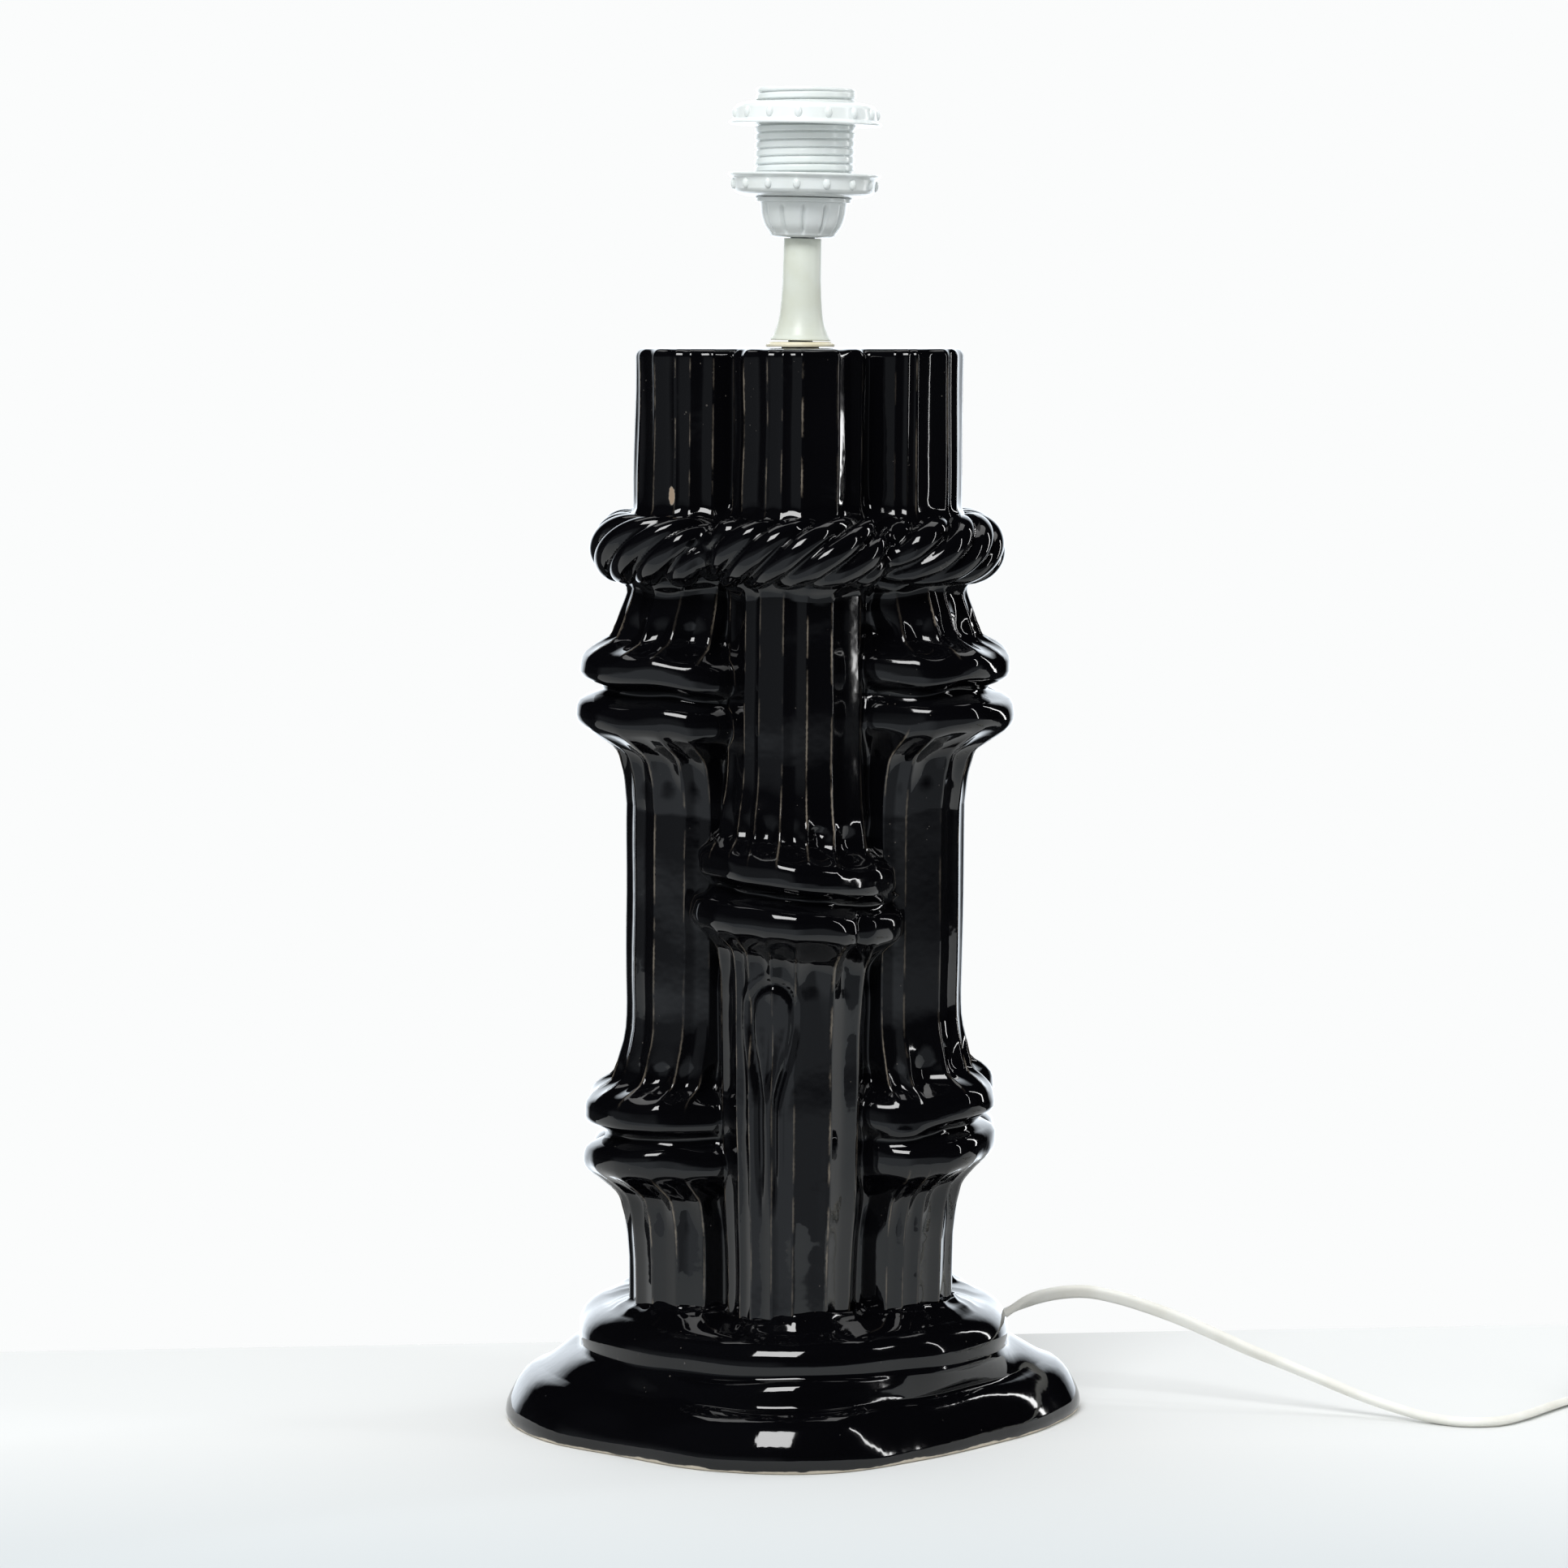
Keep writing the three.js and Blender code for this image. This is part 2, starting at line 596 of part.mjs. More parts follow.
const switchCorner = 9;
const inner = {
  length: cordSwitch.length - 2 * cordSwitch.wall,
  width: cordSwitch.width - 2 * cordSwitch.wall,
  corner: switchCorner - cordSwitch.wall,
};

function switchShell(bottom, top, floorLow, floorHigh) {
  const outline = roundedOutline(cordSwitch.length, cordSwitch.width, switchCorner);
  const innerOutline = roundedOutline(inner.length, inner.width, inner.corner);
  return solid(raised(outline, bottom, top)).subtract(solid(raised(innerOutline, floorLow, floorHigh)));
}

// half-round notches at the ends, where the cord enters
function cordNotch() {
  const notch = rod(3.1, -cordSwitch.length, cordSwitch.length, 12).rotateY(Math.PI / 2);
  return solid(notch.translate(0, 0, cordSwitch.parting));
}

const screwSides = [1, -1];

function switchBase() {
  const { bottom, parting } = cordSwitch;
  let base = switchShell(bottom, parting, bottom + cordSwitch.wall, parting + 1);
  for (const side of screwSides) {
    base = base.add(solid(rod(3.6, bottom, parting, 14).translate(side * switchScrewReach, 6.5 * side, 0)));
  }
  base = base.subtract(cordNotch());
  for (const side of screwSides) {
    const at = [side * switchScrewReach, 6.5 * side, 0];
    base = base.subtract(solid(rod(1.6, bottom - 1, parting + 1, 10).translate(...at)));
    base = base.subtract(solid(rod(2.9, bottom - 1, bottom + 2, 12).translate(...at)));
  }
  return fromSolid(base);
}
addPiece('switch_base', switchBase(), 'whitePlastic', switchGroup);

function switchCover() {
  const { parting, top } = cordSwitch;
  const bottom = parting + gap;
  let cover = switchShell(bottom, top, bottom - 1, top - cordSwitch.wall);
  for (const side of screwSides) {
    const at = [side * switchScrewReach, 6.5 * side, 0];
    cover = cover.add(solid(rod(3.6, bottom, top - 1, 14).translate(...at)));
    cover = cover.subtract(solid(rod(1.6, bottom - 1, 12, 10).translate(...at)));
  }
  const well = roundedOutline(rockerWell.length, rockerWell.width, 1);
  return fromSolid(cover.subtract(cordNotch()).subtract(solid(raised(well, top - 4, top + 1))));
}
addPiece('switch_cover', switchCover(), 'whitePlastic', switchGroup);

for (const [name, side] of [['switch_screw_front', -1], ['switch_screw_rear', 1]]) {
  const screw = turned([[0, 0.5], [2.5, 0.5], [2.5, 2], [1.2, 2], [1.2, 11.5], [0, 11.5]], 12);
  addPiece(name, screw.translate(side * switchScrewReach, 6.5 * side, 0), 'steel', switchGroup);
}

// the rocker rests tipped to its off side
const rockerGroup = new THREE.Group();
rockerGroup.position.z = rocker.pivotHeight;
rockerGroup.rotation.y = degrees(-rocker.tilt);
switchGroup.add(rockerGroup);
const rockerEnd = rocker.length / 2;
addPiece('switch_rocker', barOf([
  [-rockerEnd, 0], [-3, -2.5], [3, -2.5], [rockerEnd, 0], [rockerEnd, 5.1], [5, 4.4], [0, 4.2], [-5, 4.4],
  [-rockerEnd, 5.1],
], rocker.width), 'whitePlastic', rockerGroup);
addPiece('switch_rocker_contact', barOf([
  [-5, -3.4], [0, -4.2], [5, -3.4], [5, -2.8 - gap], [0, -3.4], [-5, -2.8 - gap],
], 4), 'brass', rockerGroup);
addPiece('switch_fixed_contact', barOf([
  [6.5, 2.3], [15, 2.3], [15, 3], [7.2, 3], [7.2, 6], [6.5, 6],
], 4), 'brass', switchGroup);

// ---------------------------------------------------------------- plug

function plugBody() {
  const { back, front, width, neck, bottom, thick } = plug;
  const body = raised([
    [-width / 2, front], [width / 2, front], [width / 2, front + 9], [neck / 2, back], [-neck / 2, back],
    [-width / 2, front + 9],
  ], bottom, bottom + thick);
  const boot = turned([
    [0, back - 1], [plugBoot.rootRadius, back - 1], [plugBoot.rootRadius, back],
    [plugBoot.radius, plugBoot.end], [0, plugBoot.end],
  ], 16).rotateX(-Math.PI / 2).translate(0, 0, bottom + thick / 2);
  const pinSocket = (x) => solid(
    rod(plugPin.radius + gap, -1, plugPin.rooted, 14)
      .rotateX(-Math.PI / 2)
      .translate(x, front, bottom + thick / 2),
  );
  const reach = plugPin.spacing / 2;
  const whole = solid(body).add(solid(boot)).subtract(pinSocket(reach)).subtract(pinSocket(-reach));
  return fromSolid(whole).translate(plug.x, 0, 0);
}
addPiece('plug_body', plugBody(), 'cordPlastic');

for (const [name, side] of [['plug_pin_live', 1], ['plug_pin_neutral', -1]]) {
  const root = plug.front + plugPin.rooted - gap;
  const tip = plug.front - plugPin.length;
  const pin = turned([
    [0, tip], [1.2, tip], [plugPin.radius, tip + 1.5], [plugPin.radius, root], [0, root],
  ], 14).rotateX(-Math.PI / 2);
  const x = plug.x + (side * plugPin.spacing) / 2;
  addPiece(name, pin.translate(x, 0, plug.bottom + plug.thick / 2), 'brass');
}

export default lamp;
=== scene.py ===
"""Ceramic table lamp: a bundle of six bamboo-like stalks on a stepped foot, under a black glaze.

Shapes are worked out in millimetres, +Z up, and become metres as a mesh is made.
"""
import json
import math

import bmesh
import bpy
import numpy as np
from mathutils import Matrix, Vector


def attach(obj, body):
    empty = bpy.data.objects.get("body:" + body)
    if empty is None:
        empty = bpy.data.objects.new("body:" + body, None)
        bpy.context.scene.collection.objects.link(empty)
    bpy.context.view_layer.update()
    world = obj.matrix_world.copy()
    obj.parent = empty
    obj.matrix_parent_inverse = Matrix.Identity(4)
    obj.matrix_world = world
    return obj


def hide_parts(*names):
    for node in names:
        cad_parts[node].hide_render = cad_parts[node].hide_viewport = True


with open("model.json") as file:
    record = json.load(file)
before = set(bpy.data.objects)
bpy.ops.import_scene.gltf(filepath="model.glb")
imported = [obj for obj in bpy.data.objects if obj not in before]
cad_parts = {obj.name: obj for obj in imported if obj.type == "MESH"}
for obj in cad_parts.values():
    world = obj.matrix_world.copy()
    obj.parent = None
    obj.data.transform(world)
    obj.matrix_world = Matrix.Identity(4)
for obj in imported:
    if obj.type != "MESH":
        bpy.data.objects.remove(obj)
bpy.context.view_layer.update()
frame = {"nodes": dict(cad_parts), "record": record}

scene = bpy.context.scene
MM = 0.001

# ---- driving sizes, as in the frame ------------------------------------------------------------

STALKS = 6
STALK_RING = 43.7            # middle of each stalk from the column's middle
STALK_RADIUS = 26.5
STALK_BELLY = 2.8
COLUMN_FOOT, COLUMN_TOP = 50, 430
LEAN_FOOT, LEAN_TOP = -1.3, 2.3
SHAFT_LOW, SHAFT_SPAN = 54, 376   # the stretch of the column that leans and swells
WALL_RADIUS = 45             # the column's round inner wall
ROPE_HEIGHT = 351
ROPE_RING, ROPE_RADIUS = 31, 13

STACK_FOOT = (2.6, 0, 430)   # where the neck stands, and how far it leans to the right
STACK_LEAN = math.radians(1.3)

FACETS = 8                   # flats round one stalk
FACET_COLUMNS = 11           # columns of the mesh in one flat
STALK_COLUMNS = FACETS * FACET_COLUMNS
RING = STALKS * STALK_COLUMNS


# ---- camera ------------------------------------------------------------------------------------

def make_camera():
    data = bpy.data.cameras.new("camera")
    data.sensor_width = 36
    data.lens = 117.8
    data.shift_y = -0.153
    data.clip_end = 30
    camera = bpy.data.objects.new("camera", data)
    scene.collection.objects.link(camera)
    camera.location = (-0.0039, -2.05, 0.441)
    camera.rotation_euler = (math.radians(87.5), 0, 0)
    scene.camera = camera


make_camera()


# ---- small tools -------------------------------------------------------------------------------

def smooth(low, high, value):
    share = np.clip((value - low) / (high - low), 0, 1)
    return share * share * (3 - 2 * share)


def hump(value, middle, width):
    return np.exp(-(((value - middle) / width) ** 2))


def through(points, values, at):
    """A smooth curve through a few points."""
    points, values = np.asarray(points, float), np.asarray(values, float)
    slopes = np.gradient(values, points)
    left = np.clip(np.searchsorted(points, at) - 1, 0, len(points) - 2)
    step = points[left + 1] - points[left]
    t = np.clip((at - points[left]) / step, 0, 1)
    start = (1 + 2 * t) * (1 - t) ** 2 * values[left] + t * (1 - t) ** 2 * step * slopes[left]
    end = t * t * (3 - 2 * t) * values[left + 1] + t * t * (t - 1) * step * slopes[left + 1]
    return start + end


def uneven(x, y, z, size, seed):
    """Smooth random unevenness from about -1 to 1, with swellings some `size` millimetres across."""
    draw = np.random.default_rng(seed)
    total = 0.0
    for _ in range(9):
        way = draw.normal(size=3)
        way /= np.linalg.norm(way)
        pitch = 2.2 * size * draw.uniform(0.7, 1.6)
        phase = (x * way[0] + y * way[1] + z * way[2]) * 2 * np.pi / pitch
        total = total + np.sin(phase + draw.uniform(0, 6.28))
    return total / 4.2


def new_object(name, mesh, material=None, shade=True):
    if shade:
        mesh.shade_smooth()
    piece = bpy.data.objects.new(name, mesh)
    scene.collection.objects.link(piece)
    if material:
        mesh.materials.append(material)
    return piece


def loft(name, rings, material=None, uv=None, attributes=None):
    """A closed skin over closed rings of points. The last ring joins the first one.

    Rings are in millimetres, anticlockwise from above, and run up the outside and down the inside.
    """
    rings = np.asarray(rings, float)
    rows, columns = rings.shape[:2]
    row, column = np.meshgrid(np.arange(rows), np.arange(columns), indexing="ij")
    up, along = (row + 1) % rows, (column + 1) % columns
    low, high = row * columns, up * columns
    faces = np.stack([low + column, low + along, high + along, high + column], -1)
    mesh = bpy.data.meshes.new(name)
    mesh.from_pydata((rings.reshape(-1, 3) * MM).tolist(), [], faces.reshape(-1, 4).tolist())
    if uv is not None:
        layer = mesh.uv_layers.new(name="flutes")
        corner_u = np.stack([column, column + 1, column + 1, column], -1) * uv
        corner_v = np.stack([row, row, row + 1, row + 1], -1) / rows
        layer.data.foreach_set("uv", np.stack([corner_u, corner_v], -1).astype(np.float32).ravel())
    for key, values in (attributes or {}).items():
        layer = mesh.attributes.new(key, "FLOAT", "POINT")
        layer.data.foreach_set("value", np.asarray(values, np.float32).ravel())
    mesh.update()
    return new_object(name, mesh, material)


def stacked(points):
    """Turns points of the lampholder's own upright frame to where it stands, leaning to the right."""
    points = np.asarray(points, float)
    x = points[..., 0] * math.cos(STACK_LEAN) + points[..., 2] * math.sin(STACK_LEAN)
    z = -points[..., 0] * math.sin(STACK_LEAN) + points[..., 2] * math.cos(STACK_LEAN)
    return np.stack([x + STACK_FOOT[0], points[..., 1] + STACK_FOOT[1], z + STACK_FOOT[2]], -1)


def turned_rings(outline, sides):
    """Rings of a turned piece. The outline is (radius, height) pairs, up the outside and down the inside."""
    angle = np.linspace(0, 2 * np.pi, sides, endpoint=False)
    return np.array([[(r * math.cos(a), r * math.sin(a), h) for a in angle] for r, h in outline])


def eased(outline, cut=0.3):
    """The outline with each of its corners eased by up to `cut` millimetres."""
    result = []
    count = len(outline)
    for index, corner in enumerate(outline):
        corner = np.array(corner, float)
        before = np.array(outline[index - 1], float)
        after = np.array(outline[(index + 1) % count], float)
        to_before, to_after = before - corner, after - corner
        near = min(cut, np.linalg.norm(to_before) * 0.45)
        far = min(cut, np.linalg.norm(to_after) * 0.45)
        start = corner + to_before / np.linalg.norm(to_before) * near
        end = corner + to_after / np.linalg.norm(to_after) * far
        for t in (0, 0.33, 0.67, 1):
            result.append((1 - t) ** 2 * start + 2 * t * (1 - t) * corner + t * t * end)
    return result


# ---- materials ---------------------------------------------------------------------------------

def colour(code):
    """An sRGB hex colour as linear red, green, blue, alpha."""
    parts = [int(code[i:i + 2], 16) / 255 for i in (1, 3, 5)]
    return tuple(c / 12.92 if c <= 0.04045 else ((c + 0.055) / 1.055) ** 2.4 for c in parts) + (1,)


def add(tree, kind, inputs=None, **settings):
    """Adds one node with its settings and its inputs, which are values or other nodes' outputs."""
    node = tree.nodes.new(kind)
    for name, value in settings.items():
        setattr(node, name, value)
    for socket, value in (inputs or {}).items():
        if isinstance(value, bpy.types.NodeSocket):
            tree.links.new(value, node.inputs[socket])
        else:
            node.inputs[socket].default_value = value
    return node


def blank_material(name, **shader_values):
    material = bpy.data.materials.new(name)
    material.use_nodes = True
    tree = material.node_tree
    shader = tree.nodes["Principled BSDF"]
    for socket, value in shader_values.items():
        shader.inputs[socket.replace("_", " ")].default_value = value
    return material, tree, shader


def math_node(tree, operation, a, b=0.0, clamp=False):
    return add(tree, "ShaderNodeMath", {0: a, 1: b}, operation=operation, use_clamp=clamp).outputs[0]


def black_glaze():
    """Black stoneware glaze, poured and fired: a deep mirror with a faint orange-peel ripple, pinholes, and
    thin brown lines where it runs off the sharp ridges. The foot's rim and one chip show bare clay."""
    material, tree, shader = blank_material("black_stoneware_glaze", IOR=1.5)
    place = add(tree, "ShaderNodeTexCoord").outputs["Object"]
    flutes = add(tree, "ShaderNodeUVMap", uv_map="flutes").outputs["UV"]
    across = add(tree, "ShaderNodeSeparateXYZ", {0: flutes}).outputs[0]
    thin = add(tree, "ShaderNodeAttribute", attribute_name="thin").outputs["Fac"]
    height = add(tree, "ShaderNodeSeparateXYZ", {0: place}).outputs[2]

    # a ridge is where the flute count passes a whole number
    from_ridge = math_node(tree, "PINGPONG", across, 0.5)
    ragged = add(tree, "ShaderNodeTexNoise", {"Vector": place, "Scale": 900, "Detail": 3}).outputs["Fac"]
    broken = add(tree, "ShaderNodeTexNoise", {"Vector": place, "Scale": 75, "Detail": 4}).outputs["Fac"]
    width = math_node(tree, "MULTIPLY", ragged, 0.09)
    on_ridge = add(tree, "ShaderNodeMapRange", {0: from_ridge, 1: width, 2: 0.0, 3: 0.0, 4: 1.0}).outputs[0]
    worn = add(tree, "ShaderNodeMapRange", {0: broken, 1: 0.44, 2: 0.6, 3: 0.0, 4: 1.0}).outputs[0]
    line = math_node(tree, "MULTIPLY", math_node(tree, "MULTIPLY", on_ridge, thin), worn, clamp=True)

    # chip in the glaze high on the front left stalk, 3 by 8 mm
    chip_place = add(tree, "ShaderNodeMapping", {
        "Vector": place, "Location": (-0.0478, -0.0462, 0.3725), "Scale": (0.0013, 0.004, 0.0036),
    }, vector_type="TEXTURE").outputs[0]
    from_chip = add(tree, "ShaderNodeVectorMath", {0: chip_place}, operation="LENGTH").outputs["Value"]
    chip_edge = math_node(tree, "ADD", from_chip, math_node(tree, "MULTIPLY", ragged, 0.6))
    chip = add(tree, "ShaderNodeMapRange", {0: chip_edge, 1: 1.35, 2: 1.15, 3: 0.0, 4: 1.0}).outputs[0]

    # bare clay line on the foot's rim, with an uneven upper edge
    rim_edge = math_node(tree, "ADD", height, math_node(tree, "MULTIPLY", broken, -0.0035))
    rim = add(tree, "ShaderNodeMapRange", {0: rim_edge, 1: -0.0003, 2: -0.0007, 3: 0.0, 4: 1.0}).outputs[0]
    clay = math_node(tree, "MAXIMUM", rim, chip)

    specks = add(tree, "ShaderNodeTexVoronoi", {
        "Vector": place, "Scale": 260,
    }, feature="F1").outputs["Distance"]
    sparse = add(tree, "ShaderNodeTexNoise", {"Vector": place, "Scale": 23}).outputs["Fac"]
    speck_size = add(tree, "ShaderNodeMapRange", {0: sparse, 1: 0.5, 2: 0.75, 3: 0.0, 4: 0.13}).outputs[0]
    pinhole = math_node(tree, "LESS_THAN", specks, speck_size)

    brown = add(tree, "ShaderNodeMix", {
        "Factor": line, "A": colour("#050507"), "B": colour("#7D7468"),
    }, data_type="RGBA").outputs["Result"]
    dusty = add(tree, "ShaderNodeMix", {
        "Factor": math_node(tree, "MULTIPLY", pinhole, 0.5), "A": brown, "B": colour("#5E5A55"),
    }, data_type="RGBA").outputs["Result"]
    fired = add(tree, "ShaderNodeMix", {
        "Factor": chip, "A": colour("#CBC2B2"), "B": colour("#93806D"),
    }, data_type="RGBA").outputs["Result"]
    body = add(tree, "ShaderNodeMix", {
        "Factor": clay, "A": dusty, "B": fired,
    }, data_type="RGBA").outputs["Result"]
    tree.links.new(body, shader.inputs["Base Color"])

    smear = add(tree, "ShaderNodeTexNoise", {"Vector": place, "Scale": 24, "Detail": 5}).outputs["Fac"]
    gloss = add(tree, "ShaderNodeMapRange", {0: smear, 1: 0.45, 2: 0.8, 3: 0.035, 4: 0.12}).outputs[0]
    matt_line = math_node(tree, "MULTIPLY", line, 0.4)
    matt = math_node(tree, "MAXIMUM", matt_line, math_node(tree, "MULTIPLY", clay, 0.9))
    tree.links.new(math_node(tree, "MAXIMUM", gloss, matt), shader.inputs["Roughness"])

    ripple = add(tree, "ShaderNodeTexNoise", {"Vector": place, "Scale": 110, "Detail": 2}).outputs["Fac"]
    peel = add(tree, "ShaderNodeBump", {"Strength": 0.25, "Distance": 0.0004, "Height": ripple}).outputs[0]
    pits = add(tree, "ShaderNodeBump", {
        "Strength": 0.5, "Distance": 0.0003,
        "Height": math_node(tree, "SUBTRACT", 1.0, pinhole), "Normal": peel,
    }).outputs[0]
    tree.links.new(pits, shader.inputs["Normal"])
    return material


def moulded_plastic(name, tint, aged, roughness, grain=0.00004, scale=900):
    """Injection-moulded thermoplastic: an even tint, a slightly yellowed bloom and a fine mould texture."""
    material, tree, shader = blank_material(name, IOR=1.49)
    place = add(tree, "ShaderNodeTexCoord").outputs["Object"]
    bloom = add(tree, "ShaderNodeTexNoise", {"Vector": place, "Scale": 60, "Detail": 4}).outputs["Fac"]
    share = add(tree, "ShaderNodeMapRange", {0: bloom, 1: 0.4, 2: 0.7, 3: 0.0, 4: 1.0}).outputs[0]
    mixed = add(tree, "ShaderNodeMix", {
        "Factor": share, "A": colour(tint), "B": colour(aged),
    }, data_type="RGBA").outputs["Result"]
    tree.links.new(mixed, shader.inputs["Base Color"])
    rubbed = add(tree, "ShaderNodeMapRange", {
        0: bloom, 1: 0.3, 2: 0.7, 3: roughness, 4: roughness * 1.5,
    }).outputs[0]
    tree.links.new(rubbed, shader.inputs["Roughness"])
    fine = add(tree, "ShaderNodeTexNoise", {"Vector": place, "Scale": scale, "Detail": 2}).outputs["Fac"]
    bump = add(tree, "ShaderNodeBump", {"Strength": 0.4, "Distance": grain, "Height": fine}).outputs[0]
    tree.links.new(bump, shader.inputs["Normal"])
    shader.inputs["Subsurface Weight"].default_value = 0.15
    shader.inputs["Subsurface Radius"].default_value = (0.003, 0.0028, 0.0025)
    return material


def metal(name, tint, worn, roughness, scale=(400, 400, 60)):
    """Bare or plated metal: drawn or turned lines, and duller patches where it is handled."""
    material, tree, shader = blank_material(name, Metallic=1.0)
    place = add(tree, "ShaderNodeTexCoord").outputs["Object"]
    drawn = add(tree, "ShaderNodeMapping", {"Vector": place, "Scale": scale}).outputs[0]
    lines = add(tree, "ShaderNodeTexNoise", {"Vector": drawn, "Scale": 6, "Detail": 4}).outputs["Fac"]
    patches = add(tree, "ShaderNodeTexNoise", {"Vector": place, "Scale": 180, "Detail": 3}).outputs["Fac"]
    mixed = add(tree, "ShaderNodeMix", {
        "Factor": patches, "A": colour(tint), "B": colour(worn),
    }, data_type="RGBA").outputs["Result"]
    tree.links.new(mixed, shader.inputs["Base Color"])
    dull = add(tree, "ShaderNodeMapRange", {
        0: patches, 1: 0.3, 2: 0.7, 3: roughness, 4: roughness * 1.8,
    }).outputs[0]
    tree.links.new(dull, shader.inputs["Roughness"])
    bump = add(tree, "ShaderNodeBump", {"Strength": 0.2, "Distance": 0.00003, "Height": lines}).outputs[0]
    tree.links.new(bump, shader.inputs["Normal"])
    return material


FINISHES = {
    "black_glaze": black_glaze(),
    # polybutylene terephthalate, cool white and glossy
    "holder_plastic": moulded_plastic("white_pbt_plastic", "#E1E7E7", "#DAE0DE", 0.16),
    # older polystyrene sleeve, a little green and yellow beside the holder
    "neck_plastic": moulded_plastic("aged_polystyrene", "#D8DED4", "#D0D5C6", 0.3),
    # urea moulding, gone ivory
    "seat_plastic": moulded_plastic("ivory_urea_moulding", "#E2DDC6", "#D8D1B4", 0.38),
    # soft vinyl sheath, warm grey white and satin
    "cord_plastic": moulded_plastic("soft_vinyl_sheath", "#EBEBE5", "#E1E0D8", 0.42, 0.00003, 500),
    "core_brown": moulded_plastic("brown_core_insulation", "#5A3524", "#4E2D1F", 0.4),
    "core_blue": moulded_plastic("blue_core_insulation", "#2F66A8", "#28588F", 0.4),
    "black_rubber": moulded_plastic("black_rubber", "#1B1B1C", "#232323", 0.65),
    "porcelain": moulded_plastic("unglazed_porcelain", "#ECE8DE", "#E4DED0", 0.5),
    "tie_nylon": moulded_plastic("natural_nylon", "#DDDCD2", "#D3D1C4", 0.38),
    "plated_steel": metal("zinc_plated_steel", "#B9BCC0", "#A5A8AC", 0.28),
    "contact_brass": metal("bright_brass", "#D3AE62", "#B8924A", 0.22),
    "pin_nickel": metal("nickel_plated_brass", "#D5D2CB", "#C4C0B6", 0.14),
}


# ---- the bundle of stalks ----------------------------------------------------------------------

def lean(height):
    """How far the column stands to the right at a height."""
    return LEAN_FOOT + (LEAN_TOP - LEAN_FOOT) * np.clip((height - SHAFT_LOW) / SHAFT_SPAN, 0, 1)


def stalk_frame(stalk):
    """The middle of a stalk and the way it faces, seen from above. Stalk 0 faces the front."""
    turn = -math.pi / 2 + 2 * math.pi * stalk / STALKS
    return np.array([math.cos(turn), math.sin(turn)])


def stalk_points(stalk, around, shape):
    """Points of a stalk's skin: shape is (radius, push away from the column, height)."""
    radius, push, height = shape
    out = stalk_frame(stalk)
    side = np.array([-out[1], out[0]])
    ahead = STALK_RING + push + radius * np.cos(around)
    beside = radius * np.sin(around)
    x = ahead * out[0] + beside * side[0] + lean(height)
    y = ahead * out[1] + beside * side[1]
    return np.stack(np.broadcast_arrays(x, y, height), -1)


def meeting(stalk, row, shape_of):
    """Where stalk and the next one meet in a row: the angle round each of them."""
    around = np.radians(np.linspace(8, 118, 221))
    polar = []
    for owner, sign in ((stalk, 1), ((stalk + 1) % STALKS, -1)):
        radius, push, _ = shape_of(owner, sign * around, row)
        ahead = STALK_RING + push + radius * np.cos(around)
        beside = radius * np.sin(around)
        turn = np.maximum.accumulate(np.arctan2(beside, ahead)) + np.arange(around.size) * 1e-9
        polar.append((turn, np.hypot(ahead, beside)))
    turns = np.radians(np.linspace(6, 54, 385))
    mine = np.interp(turns, *polar[0])
    theirs = np.interp(math.radians(60) - turns, *polar[1])
    behind = np.nonzero(mine < theirs)[0]
    first = behind[0] if behind.size else turns.size - 1
    turn = turns[first]
    return np.interp(turn, polar[0][0], around), np.interp(math.radians(60) - turn, polar[1][0], around)


def bundle_rings(rows, shape_of, ridges_of, soften=5):
    """One ring of points round all six stalks for each row, cut where neighbouring stalks meet."""
    rings = np.empty((len(rows), RING, 3))
    for index, row in enumerate(rows):
        edges = [meeting(stalk, row, shape_of) for stalk in range(STALKS)]
        for stalk in range(STALKS):
            left, right = edges[stalk - 1][1], edges[stalk][0]
            ridges = np.array(ridges_of(stalk, row))
            room = np.radians(1.3) * np.arange(1, FACETS)
            ridges = np.minimum(np.maximum(ridges, -left + room), right - room[::-1])
            knots = np.concatenate([[-left], ridges, [right]])
            around = np.interp(np.arange(STALK_COLUMNS) / FACET_COLUMNS, np.arange(FACETS + 1), knots)
            points = stalk_points(stalk, around, shape_of(stalk, around, row))
            rings[index, stalk * STALK_COLUMNS:(stalk + 1) * STALK_COLUMNS] = points
    column = np.arange(RING)
    from_crease = np.minimum(column % STALK_COLUMNS, (-column) % STALK_COLUMNS)
    weight = np.exp(-((from_crease / 1.6) ** 2))[None, :, None]
    for _ in range(soften):
        rings += weight * ((np.roll(rings, 1, 1) + np.roll(rings, -1, 1)) / 2 - rings) * 0.8
    for _ in range(2):
        inner = (rings[:-2] + rings[2:]) / 2 - rings[1:-1]
        rings[1:-1] += weight * inner * 0.6
    return rings


# ridges seen from the front, in degrees from the way each stalk faces
FRONT_RIDGES = {
    (0, "top"): (-70, -53, -27.5, -14.6, 2.3, 33.7, 66),
    (5, "top"): (-60, -31, -8, 16, 37, 49.6, 69),
    (1, "top"): (-60.6, -50.2, -43.1, -10.7, 4, 36, 64),
    (0, 0): (-66, -48, -36, -17, 1, 31, 60),
    (0, 1): (-66, -44, -30, -11, 8, 28, 60),
}


def ridge_angles(stalk, section):
    """The ridges round one stalk in one section between two joints, as the mould maker scraped them."""
    seen = FRONT_RIDGES.get((stalk, section))
    if seen:
        return np.radians(seen)
    draw = np.random.default_rng(70 + 10 * stalk + (9 if section == "top" else section))
    flats = draw.uniform(0.6, 1.5, FACETS)
    return np.radians(-88 + 176 * np.cumsum(flats)[:-1] / flats.sum())


def ridge_wear(stalk, section):
    draw = np.random.default_rng(500 + 10 * stalk + (9 if section == "top" else section))
    return np.concatenate([[0], draw.uniform(0.1, 1.0, FACETS - 1) ** 1.5, [0]])


